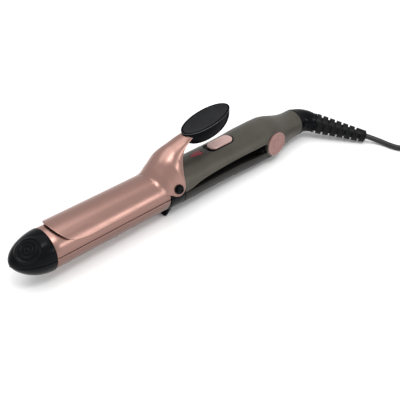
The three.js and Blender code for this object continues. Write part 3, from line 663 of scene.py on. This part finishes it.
def shell_section(x, edge_z, side, rounding=0.5, shrink=0.0, wall=2.0):
    """The shell's section above (side 1) or below (side -1) a height, with rounded lips."""
    outer = angle_at(x, edge_z, shrink) if edge_z > -90 else -PI / 2 + 0.0012
    inner = angle_at(x, edge_z, wall) if edge_z > -90 else -PI / 2 + 0.0014
    turn = outer + side * rounding / half_height(x)
    fixed = turn + side * 0.16
    finish = PI / 2 if side > 0 else -PI / 2
    angles = [*np.linspace(turn, fixed, 9)[1:], *np.linspace(fixed, finish, 34)[1:]]
    half = rounded_corner(on_handle(x, inner, wall), on_handle(x, outer, shrink), on_handle(x, turn, shrink),
                          min(rounding, 0.9))
    half += [on_handle(x, a, shrink) for a in angles]
    mirror = [p * np.array([-1, 1]) for p in half[-2::-1]]
    back = [on_handle(x, a, wall) for a in np.linspace(inner, finish, 30)]
    back_mirror = [p * np.array([-1, 1]) for p in back[-2::-1]]
    section = [*half, *mirror, *reversed([*back, *back_mirror])]
    return [(x, y, z) for y, z in section]


def upper_edge_at(x):
    if x < 214.6:
        return upper_edge(x)
    if x <= PIVOT_X:
        return PIVOT_Z - math.sqrt(max(0, 144 - (x - PIVOT_X) ** 2)) if x > 214.001 else upper_edge(x)
    return PIVOT_Z - 12 if x < NECK_START else -99


def lower_edge_at(x):
    if x < 213.7:
        return lower_edge(x)
    return PIVOT_Z - math.sqrt(12.6 ** 2 - (min(x, PIVOT_X) - PIVOT_X) ** 2)


def pill(x, length, width, pieces=14):
    r, half = width / 2, length / 2 - width / 2
    right = [(x + half + r * math.cos(a), r * math.sin(a)) for a in np.linspace(-PI / 2, PI / 2, pieces)]
    return right + [(2 * x - u, -v) for u, v in right]


LENS_X, LENS_LENGTH, LENS_WIDTH = 146.0, 12.4, 5.8


def lens_outline(inset, pieces=12):
    """A leaf with a pointed front and a square rear."""
    front, back = LENS_X - LENS_LENGTH / 2 + inset, LENS_X + LENS_LENGTH / 2 - inset
    half = LENS_WIDTH / 2 - inset
    flank = [(front + (back - 1 - front) * t, half * math.sin(PI / 2 * t ** 0.8)) for t in np.linspace(0, 1,
                                                                                                       pieces)]
    corner = [(back - 0.3, 0.93 * half), (back, 0.7 * half)]
    upper = flank[1:] + corner
    return [flank[0], *((x, -y) for x, y in upper), *reversed(upper)]


def make_upper_handle():
    xs = [HANDLE_FRONT, HANDLE_FRONT + 0.12, HANDLE_FRONT + 0.4, *np.arange(122.4, 213.9, 1.6), 213.9, 214.3,
          214.55,
          214.65, 214.9, 215.4, 216.2, 217.2, 218.4, 220, 221.8, 223.8, 225.5, 226.8, 228.6, 230.95, 231.05,
          232.5, *np.arange(234, 258, 1.5), 258, 261, 264, 266.1, 266.55, HANDLE_END]
    shrink = {HANDLE_FRONT: 0.4, HANDLE_FRONT + 0.12: 0.12, 266.55: 0.12, HANDLE_END: 0.4}
    loops = []
    for x in xs:
        closed = x > NECK_START
        inset = shrink.get(x, 0)
        loops.append(shell_section(x, upper_edge_at(x), 1, 0.02 if closed else 0.5, inset))
    shell = lofted("handle_shell_upper", loops)
    cutters = [
        plate("bezel_seat", pill(172.3, 31, 12.6), 2, 14.05, 20),
        plate("lens_seat", lens_outline(-0.3), 2, 14.2, 20),
        lathed("near_seat", [(0, 10.75), (8, 10.75)], (PIVOT_X, -23.9, PIVOT_Z), (0, 1, 0), 96),
        lathed("far_seat", [(0, 7.15), (8, 7.15)], (PIVOT_X, 14.9, PIVOT_Z), (0, 1, 0), 72),
    ]
    shell = carved(shell, cutters)
    finished(shell, TAUPE, "upper_arm", ["handle_upper"], sharp=32)
    for name, at, r, low, high in (("seat_floor_near", -16.1, 11, 0, 1.6),
                                   ("seat_floor_far", 13.2, 7.4, 0, 1.6)):
        boss = lathed(name, [(low, 0), (low, r), (high, r), (high, 0)], (PIVOT_X, at, PIVOT_Z), (0, 1, 0), 48)
        finished(boss, TAUPE, "upper_arm")
    tray = plate("button_tray", pill(172.3, 31.6, 13.2), 2, 13.4, 14.06)
    finished(tray, BLACK, "upper_arm")
    seat = plate("lens_tray", lens_outline(-0.5), 2, 13.6, 14.25)
    finished(seat, BLACK, "upper_arm")
    end = lathed("neck_wall", [(264.3, 0), (264.3, 10.6), (266.3, 10.6), (266.3, 0)], (0, 0, -1), (1, 0, 0),
                 64)
    finished(end, TAUPE, "upper_arm")


def make_lower_handle():
    xs = [HANDLE_FRONT, HANDLE_FRONT + 0.12, HANDLE_FRONT + 0.4, *np.arange(122.4, 212.5, 1.8), 213.2, 213.65,
          213.75, 214, 214.5, 215.2, 216.2, 217.4, 219, 221, 223, 225.4, 225.85, 226]
    shrink = {HANDLE_FRONT: 0.4, HANDLE_FRONT + 0.12: 0.12, 225.85: 0.12, 226: 0.4}
    loops = [shell_section(x, lower_edge_at(x), -1, 0.5, shrink.get(x, 0)) for x in xs]
    shell = lofted("handle_shell_lower", loops)
    well = plate("well", [(118, -18.5), (124.4, -18.5), (124.4, -11.2), (118, -11.2)], 1, -8.45, 8.45)
    shell = carved(shell, [well])
    # The lower shell, its knuckle and its web take the darker taupe copy: painted shade on the underside.
    finished(shell, TAUPE_PAINTED_SHADE, "lower_arm", ["handle_lower"], sharp=32)
    knuckle = lathed("lower_knuckle", rounded_profile([(-8, 0), (-8, 8.5), (8, 8.5), (8, 0)], 0.5),
                     (PIVOT_X, 0, PIVOT_Z), (0, 1, 0), 64)
    finished(knuckle, TAUPE_PAINTED_SHADE, "lower_arm")
    web = bevelled(plate("lower_web", [(206, -4.5), (222, -4.5), (222, -15.6), (206, -15.6)], 1, -7.9, 7.9),
                   0.5)
    finished(web, TAUPE_PAINTED_SHADE, "lower_arm")


make_upper_handle()
make_lower_handle()


# ---- Hinge caps, bezel, button, lens ----
def make_small_parts():
    # The hinge caps take a copy of the trim at 62 % with a pinker tint: the tint is their own deeper tone, the
    # darkening is painted shade.
    near = rounded_profile(
        [(0, 0), (0, 10.4), (1.6, 10.4), (1.6, 9.3), (0.95, 8.3), (0.8, 4.6), (1.5, 3.2), (1.55, 0)], 0.45, 5)
    cap = lathed("cap_skin_near", near, (PIVOT_X, -16.2, PIVOT_Z), (0, -1, 0), 112)
    finished(cap, CAP_TONE_AND_SHADE, "upper_arm", ["hinge_cap_near"])
    far = rounded_profile([(0, 0), (0, 6.8), (1.3, 6.8), (1.3, 5.8), (1.0, 5), (1.0, 0)], 0.35, 4)
    cap = lathed("cap_skin_far", far, (PIVOT_X, 15.2, PIVOT_Z), (0, 1, 0), 80)
    finished(cap, CAP_TONE_AND_SHADE, "upper_arm", ["hinge_cap_far"])

    def stacked(name, outline, levels):
        return lofted(name, [[(x, y, z) for x, y in outline(inset)] for z, inset in levels])
    bezel = stacked("bezel_skin", lambda i: pill(172.3, 30.4 - 2 * i, 12 - 2 * i),
                    [(14.1, 0), (15.35, 0), (15.55, 0.06), (15.68, 0.25), (15.7, 0.5), (15.7, 0.9),
                     (15.45, 1.1),
                     (15.4, 1.5)])
    finished(bezel, BLACK, "upper_arm", ["switch_bezel"], sharp=60)
    # The button takes the brightened trim: painted light on its top.
    button = stacked("button_skin", lambda i: pill(174, 25 - 2 * i, 10 - 2 * i),
                     [(15.75, 0.1), (16.0, 0), (16.85, 0), (17.15, 0.07), (17.37, 0.26), (17.47, 0.55),
                      (17.52, 1.1),
                      (17.47, 2.2), (17.4, 3.4), (17.36, 4.4)])
    finished(button, TRIM_PAINTED_LIGHT, "switch_button", ["switch_button"], sharp=60)
    lens = stacked("lens_skin", lens_outline,
                   [(14.2, 0), (16.55, 0), (16.8, 0.06), (16.95, 0.2), (17.03, 0.45), (17.06, 0.8)])
    finished(lens, RED, "upper_arm", ["indicator_lens"], sharp=60)


make_small_parts()


# ---- Clamp: a curved plate that sweeps up into a hood and a narrow lever ----
CLAMP_R, CLAMP_SHEET, CLAMP_HALF_ANGLE = 17.3, 0.9, math.radians(66)
SCREW_X, SCREW_Z = 112.3, 7.8
# Each station: its crest on the centre line (x, z), its edge on either side (x, y, z), its wrap in degrees.
LEVER_STATIONS = [
    (96.6, 18.2, 102.2, 16.1, 6.5, 66), (98.4, 20.3, 106, 17.1, 4.7, 74), (100.6, 23.2, 110, 17.6, 2.3, 82),
    (103.4, 26.1, 114.6, 17.7, 1.7, 86), (106.4, 28.8, 118.2, 17.6, 4.6, 88),
    (109.8, 31.1, 119.1, 16.9, 9.6, 88),
    (113.4, 33, 119.6, 14.9, 15.4, 86), (117, 34.6, 120.9, 12.2, 21.4, 82), (121.2, 35.7, 122.6, 9.9, 27, 78),
    (125.6, 36.8, 125.6, 8.1, 31.3, 74), (130, 37.9, 129.6, 6.9, 34.2, 70), (134.4, 39, 133.9, 5.9, 36, 66),
    (139, 40, 138.5, 5.1, 37.5, 62), (148, 41, 147.5, 4.6, 39.3, 60)]


def clamp_grid():
    across = np.linspace(-1, 1, 81)
    rows = []
    for u in [0, 0.004, 0.012, *np.linspace(0.03, 1, 34)]:
        row = []
        for t in across:
            front = 4.6 + 5.3 * (abs(t) / 0.7) ** 2.2 + 12 * max(0, (abs(t) - 0.7) / 0.3) ** 4
            crease = 96 + 5 * max(0, abs(t) - 0.62) / 0.38
            r, angle = CLAMP_R + 0.35 * (1 - u) ** 2, t * CLAMP_HALF_ANGLE
            row.append((front + (crease - front) * u, r * math.sin(angle), r * math.cos(angle)))
        rows.append(row)
    crease_row = len(rows) - 1
    for cx, cz, ex, ey, ez, wrap in sampled(LEVER_STATIONS, 6):
        reach = math.radians(wrap)
        row = []
        for t in across:
            down = (1 - math.cos(t * reach)) / (1 - math.cos(reach))
            row.append((cx + (ex - cx) * down, ey * math.sin(t * reach) / math.sin(reach),
                        cz + (ez - cz) * down))
        rows.append(row)
    grid = np.array(rows)
    before, at, after = grid[crease_row - 1], grid[crease_row], grid[crease_row + 3]
    near = at + (before - at) * 0.2
    bend = [(1 - t) ** 2 * near + 2 * t * (1 - t) * at + t * t * after for t in np.linspace(0, 1, 7)]
    return np.concatenate([grid[:crease_row], bend, grid[crease_row + 4:]])


def make_clamp():
    grid = clamp_grid()
    lengthwise = np.gradient(grid, axis=0)
    crosswise = np.gradient(grid, axis=1)
    normal = np.cross(crosswise, lengthwise)
    normal /= np.linalg.norm(normal, axis=2)[:, :, None]
    if normal[10, 40, 2] < 0:
        normal = -normal
    inner, grid = grid, grid + normal * CLAMP_SHEET
    half = CLAMP_SHEET / 2
    loops = []
    for r in range(len(grid)):
        loop = list(grid[r])
        for end, before in ((-1, -2), (0, 1)):
            outwards = grid[r, end] - grid[r, before]
            outwards /= np.linalg.norm(outwards)
            centre = grid[r, end] - normal[r, end] * half
            rim = [centre + half * (math.cos(a) * normal[r, end] + 0.8 * math.sin(a) * outwards)
                   for a in np.linspace(0, PI, 7)[1:-1]]
            if end == -1:
                loop += rim
                loop += list(inner[r][::-1])
            else:
                loop += rim[::-1]
        loops.append(np.array(loop))
    middle = (grid - normal * half)

    def thinned(r, amount, push):
        centre = np.vstack([middle[r], *[middle[r, -1:]] * 5, middle[r][::-1], *[middle[r, :1]] * 5])
        step = loops[r] - loops[r + (1 if r == 0 else -1)]
        step /= np.linalg.norm(step, axis=1)[:, None]
        return centre + (loops[r] - centre) * amount + step * push
    ends = (thinned(0, 0.45, 0.3), thinned(0, 0.85, 0.15), thinned(len(grid) - 1, 0.85, 0.15))
    clamp = lofted("clamp_skin", [ends[0], ends[1], *loops, ends[2]])
    finished(clamp, ROSE, "clamp", ["clamp"], sharp=50)

    for side, where, high in ((-1, "near", 1.0), (1, "far", 0.55)):
        head = rounded_profile([(0, 0), (0, 3.4), (1.7, 3.4), (2.5, 2.3), (2.5, 1.7), (1.4, 1.5), (1.3, 0)],
                               0.5, 4)
        head = [(a * high, r) for a, r in head]
        screw = lathed("screw_skin_" + where, head, (SCREW_X, side * 18.4, SCREW_Z), (0, side, 0), 48)
        finished(screw, BLACK, "upper_arm", ["clamp_screw_" + where])
        washer = rounded_profile([(0, 0), (0, 3.9), (0.45, 3.9), (0.45, 0)], 0.2)
        ring = lathed("screw_washer_" + where, washer, (SCREW_X, side * 18.4, SCREW_Z), (0, side, 0), 48)
        finished(ring, BLACK, "upper_arm")
        shaft = lathed("screw_shaft_" + where, [(0, 0), (0, 2), (6, 2), (6, 0)],
                       (SCREW_X, side * 12.6, SCREW_Z),
                       (0, side, 0), 32)
        finished(shaft, STEEL, "upper_arm")


make_clamp()

# ---- Thumb rest: a deep oval bowl on the lever's end, with a dished pad in its top ----
THUMB_X, THUMB_Z, THUMB_A, THUMB_B, THUMB_DEPTH, THUMB_PITCH = 156.8, 45.4, 24.4, 11.2, 16.6, math.radians(9.7)


def thumb_ring(down, inset, level, count=112):
    shrink = (1 - down ** 2.77) ** (1 / 2.77)
    t = circle(count)
    u, v = (THUMB_A - inset) * shrink * np.cos(t), (THUMB_B - inset) * shrink * np.sin(t)
    c, s = math.cos(THUMB_PITCH), math.sin(THUMB_PITCH)
    return np.column_stack([THUMB_X + u * c - level * s, v, THUMB_Z + u * s + level * c])


def make_thumb_rest():
    under = [thumb_ring(h, 0, -THUMB_DEPTH * h) for h in
             (0.998, 0.99, 0.975, 0.95, 0.92, 0.88, 0.83, 0.77, 0.7, 0.62, 0.53, 0.43, 0.32, 0.2, 0.1, 0.045)]
    rim = [thumb_ring(0, i, z) for i, z in ((0.02, -0.45), (0.08, -0.2), (0.25, -0.05), (0.5, 0), (0.85, 0),
                                            (1.05, -0.06), (1.18, -0.25), (1.2, -0.6), (1.2, -1.4))]
    base = lofted("thumb_bowl", under + rim)
    finished(base, BOWL, "clamp", ["thumb_rest_base"])
    # A thin glossy bead round the bowl's lip: its grey paints the rim's highlight line.
    bead = [thumb_ring(0, 0.1 - 0.22 * math.cos(a), -0.42 + 0.22 * math.sin(a)) for a in np.linspace(0,
                                                                                                     2 * PI,
                                                                                                     13)]
    rim = lofted("thumb_rim", bead, ends=False)
    finished(rim, RIM_PAINTED_HIGHLIGHT, "clamp", sharp=60)
    pad = lofted("thumb_pad", [thumb_ring(0, i, z) for i, z in (
        (1.45, -1.35), (1.4, -0.5), (1.45, -0.25), (1.6, -0.08), (1.85, 0.0), (2.3, 0.0), (2.8, -0.12),
        (3.5, -0.32),
        (4.5, -0.52), (6, -0.7), (8, -0.82), (10, -0.86), (10.9, -0.87))])
    finished(pad, PAD, "clamp", ["thumb_rest_pad"], sharp=60)


make_thumb_rest()


# ---- Stand ----
def make_stand():
    pivot, toe = np.array([113.2, -13.2]), np.array([107.7, -19.3])
    angle = math.atan2(*(toe - pivot)[::-1])

    def ring(centre, radius, low, high, count):
        return [tuple(centre + radius * np.array([math.cos(angle + a), math.sin(angle + a)]))
                for a in np.linspace(low, high, count)]
    outline = ring(pivot, 1.9, PI / 2, 1.5 * PI, 14) + ring(toe, 1.3, -PI / 2, PI / 2, 12)
    outline = [(x, max(z, -20.34 + (x - 107.7) * math.tan(TILT))) for x, z in outline]
    leg = bevelled(plate("stand_leg", outline, 1, -8.1, 8.1), 0.3, 2, 50)
    finished(leg, BLACK, "stand", ["stand"])


make_stand()

# ---- Swivel: the elbow and the ribbed strain relief ----
SWIVEL_AT, SWIVEL_ROLL = np.array([267.05, 0, -1.0]), math.radians(9.9)
BEND, BEND_R, BEND_LEAD, BEND_TAIL = math.radians(58), 16.0, 1.2, 5.3
ELBOW_LENGTH = BEND_LEAD + BEND * BEND_R + BEND_TAIL


def in_swivel(points):
    """Points in the swivel's own axes, as points of the iron."""
    p = np.asarray(points, float).reshape(-1, 3)
    c, s = math.cos(SWIVEL_ROLL), math.sin(SWIVEL_ROLL)
    return SWIVEL_AT + np.column_stack([p[:, 0], p[:, 1] * c - p[:, 2] * s, p[:, 1] * s + p[:, 2] * c])


def elbow_line(s):
    """A point of the elbow's centre line by distance, and how far it has turned towards -Y."""
    a = min(max(0, s - BEND_LEAD) / BEND_R, BEND)
    straight = max(0, s - BEND_LEAD - BEND * BEND_R)
    x = min(s, BEND_LEAD) + BEND_R * math.sin(a) + straight * math.cos(a)
    return np.array([x, -BEND_R * (1 - math.cos(a)) - straight * math.sin(a), 0]), a


def elbow_ring(s, radius, sides=72):
    at, turn = elbow_line(s)
    t = circle(sides)[:, None]
    across = np.array([math.sin(turn), math.cos(turn), 0])
    return in_swivel(at + radius * (np.cos(t) * across + np.sin(t) * np.array([0, 0, 1.0])))


def make_swivel():
    form = [(0, 11.2), (0.1, 11.6), (0.35, 11.85), (0.7, 11.95), (1.4, 11.95), (1.75, 11.85), (1.95, 11.6),
            (2.2, 11.42), (2.6, 11.38), *((s, 11.38 - 0.125 * (s - 2.6) - 0.0026 * (s - 2.6) ** 2)
                                          for s in np.linspace(3.4, 20.5, 22)),
            (ELBOW_LENGTH - 0.5, 8.75), (ELBOW_LENGTH - 0.1, 8.5), (ELBOW_LENGTH, 8.2)]
    elbow = lofted("elbow_skin", [elbow_ring(s, r) for s, r in form])
    finished(elbow, BLACK, "swivel", ["swivel_elbow"], sharp=60)
    start, turn = elbow_line(ELBOW_LENGTH + 0.2)
    ahead = np.array([math.cos(turn), -math.sin(turn), 0])
    across = np.array([math.sin(turn), math.cos(turn), 0])
    up = np.array([0, 0, 1.0])

    def ring(d, radius, count=64):
        t = circle(count)[:, None]
        return in_swivel(start + ahead * d + radius * (np.cos(t) * across + np.sin(t) * up))
    length, slot, depth = 45.6, 1.4, 2.0
    # Slots run round its upper half and, between them, round its lower half, as seen from the near side.
    upper_slots = [4.85 + 6.18 * k for k in range(6)]
    lower_slots = [1.3 + 6.46 * k for k in range(7)]
    top_at = math.radians(55)
    angles = circle(120)
    reach = [np.clip((0.95 * sign * np.cos(angles - top_at) + 0.12) / 0.3, 0, 1) for sign in (1, -1)]
    stops = {0.0, 0.15, 0.4, length - 0.4, length - 0.12, length}
    for at in upper_slots + lower_slots:
        stops |= {at + k * (slot / 2 + e) for k in (-1, 1) for e in (-0.08, 0.08, 0.3)}
    loops = []
    for d in sorted(stops):
        ends = 0.35 if d in (0.0, length) else 0.1 if d in (0.15, length - 0.12) else 0
        r = np.full(120, 8.9 - 3.7 * d / length - ends)
        for slots, mask in zip((upper_slots, lower_slots), reach):
            gap = min(abs(d - at) for at in slots) - slot / 2
            sunk = depth if gap < 0 else 0.18 if gap < 0.1 else 0
            r = r - sunk * mask
        loops.append(in_swivel(start + ahead * d + r[:, None] * (
            np.cos(angles)[:, None] * across + np.sin(angles)[:, None] * up)))
    relief = lofted("relief_skin", loops)
    finished(relief, RELIEF, "swivel", ["strain_relief"], sharp=30)
    bush = lofted("relief_bush", [ring(d, r) for d,
                                  r in ((length - 2, 3.9), (length + 0.2, 3.9), (length + 0.6, 3.6),
                                                            (length + 0.8, 3.0))])
    finished(bush, RELIEF, "swivel")


make_swivel()


# ---- Plug ----
PLUG_REACH = 28  # how far past the coil the plug's neck begins


def make_plug():
    """The plug's body, neck and pins, in its own axes: X from the pins' far ends towards the neck."""
    origin = np.array(leaving(PLUG_REACH, 0))
    c, s = math.cos(EXIT_TURN), math.sin(EXIT_TURN)

    def at_plug(p):
        p = np.asarray(p, float)
        return (origin + np.column_stack([p[:, 0] * c + p[:, 1] * s, p[:, 1] * c - p[:, 0] * s,
                                          p[:, 2]])) / 1000
    corners = [(-44, 14.5), (-41, 17.5), (-29, 17.5), (-10, 6)]
    upper = rounded_profile([(-44, 0), *corners, (-10, 0)], 3.5, 5)
    outline = [*upper, *((x, -y) for x, y in reversed(upper[1:-1]))]
    outline = np.array(outline)
    centre = np.array([-30.0, 0])
    loops = []
    for z, inset in ((0.15, 1.6), (0.3, 0.8), (0.7, 0.25), (1.3, 0), (6.6, 0), (6.75, 0.12), (7.2, 0.35),
                     (7.65, 0.12), (7.8, 0), (13.1, 0), (13.7, 0.25), (14.1, 0.8), (14.25, 1.6)):
        away = outline - centre
        flat = centre + away * (1 - inset / np.linalg.norm(away, axis=1))[:, None]
        loops.append(at_plug(np.column_stack([flat, np.full(len(flat), z)])))
    body = lofted("plug_skin", loops, metres=True)
    pieces = [finished(body, PLUG, "upper_arm", ["plug_body"])]
    rings = [(-12, 4.9), (-9.4, 4.8), (-8.6, 4.7), (-8.4, 3.9), (-7.2, 3.8), (-7.0, 4.5), (-5.4, 4.35),
             (-5.2, 3.6),
             (-4.0, 3.5), (-3.8, 4.1), (-2.2, 3.9), (-2.0, 3.3), (-0.8, 3.2), (-0.6, 3.5), (0, 3.4),
             (0.1, 2.9)]
    t = circle(40)
    neck = lofted("plug_neck", [at_plug(np.column_stack([np.full(40, x), r * np.cos(t), 7.2 + r * np.sin(t)]))
                                for x, r in rings], metres=True)
    pieces.append(finished(neck, PLUG, "upper_arm"))
    for side, where in ((-1, "near"), (1, "far")):
        profile = [(-62.85, 0.4), (-62.7, 1.1), (-62.2, 1.7), (-61.4, 2), (-54, 2), (-53.9, 1.9),
                   (-44.2, 1.9)]
        pin = lofted("pin_skin_" + where, [at_plug(np.column_stack(
            [np.full(40, x), side * 9.3 + r * np.cos(t), 7.2 + r * np.sin(t)])) for x, r in profile],
            metres=True)
        pieces.append(finished(pin, BRASS, "upper_arm", ["plug_pin_" + where]))
    return pieces


make_cord([frame["nodes"]["coil_tie"], *make_plug()])


# ---- Materials for the CAD pieces that stay ----
CAD_LOOKS = {
    "rose_metal": ROSE, "rose_trim": TRIM_PAINTED_LIGHT, "taupe_shell": TAUPE, "gloss_black": BLACK, "satin_black": SATIN,
    "relief_rubber": RELIEF, "cord_rubber": CORD, "plug_plastic": PLUG, "tie_plastic": TIE,
    "plate_ceramic": CERAMIC, "steel": STEEL, "lens_red": RED, "board": BOARD, "pin_brass": BRASS,
}
for entry in frame["record"]["subparts"]:
    node = frame["nodes"][entry["node"]]
    for slot in node.material_slots:
        slot.material = CAD_LOOKS[entry["material_slot"]]


# ---- Floor and light ----
def stage_floor():
    n = Nodes("floor")
    n.colours(n.noise(3, 3), (0.93, 0.93, 0.93), (0.95, 0.95, 0.95))
    n.rough(n.noise(20, 2), 0.7, 0.8)
    floor = object_from("floor", [(-6, -6, 0), (6, -6, 0), (6, 6, 0), (-6, 6, 0)], [(0, 1, 2, 3)],
                        metres=True)
    floor.data.materials.append(n.material)


def softbox(name, at, towards, size, power):
    """A white rectangular lamp at a point, facing another."""
    data = bpy.data.lights.new(name, "AREA")
    data.shape = "RECTANGLE"
    data.size, data.size_y = size
    data.energy = power
    lamp = bpy.data.objects.new(name, data)
    scene.collection.objects.link(lamp)
    lamp.location = at
    lamp.rotation_euler = (Vector(towards) - Vector(at)).to_track_quat("-Z", "Y").to_euler()


def make_stage():
    stage_floor()
    world = bpy.data.worlds.new("studio")
    world.use_nodes = True
    world.node_tree.nodes["Background"].inputs["Color"].default_value = (1, 1, 1, 1)
    world.node_tree.nodes["Background"].inputs["Strength"].default_value = 0.95
    scene.world = world
    softbox("right", (0.62, -1.2, 0.47), (-0.05, 0, 0.02), (0.7, 0.2), 2.9)
    softbox("key", (-0.1, -0.66, 1.38), (-0.03, 0, 0.06), (0.8, 0.36), 6.5)
    softbox("top", (-0.1, 0.15, 2.0), (0, 0, 0), (2, 2), 18)
    scene.view_settings.view_transform = "Standard"


make_stage()
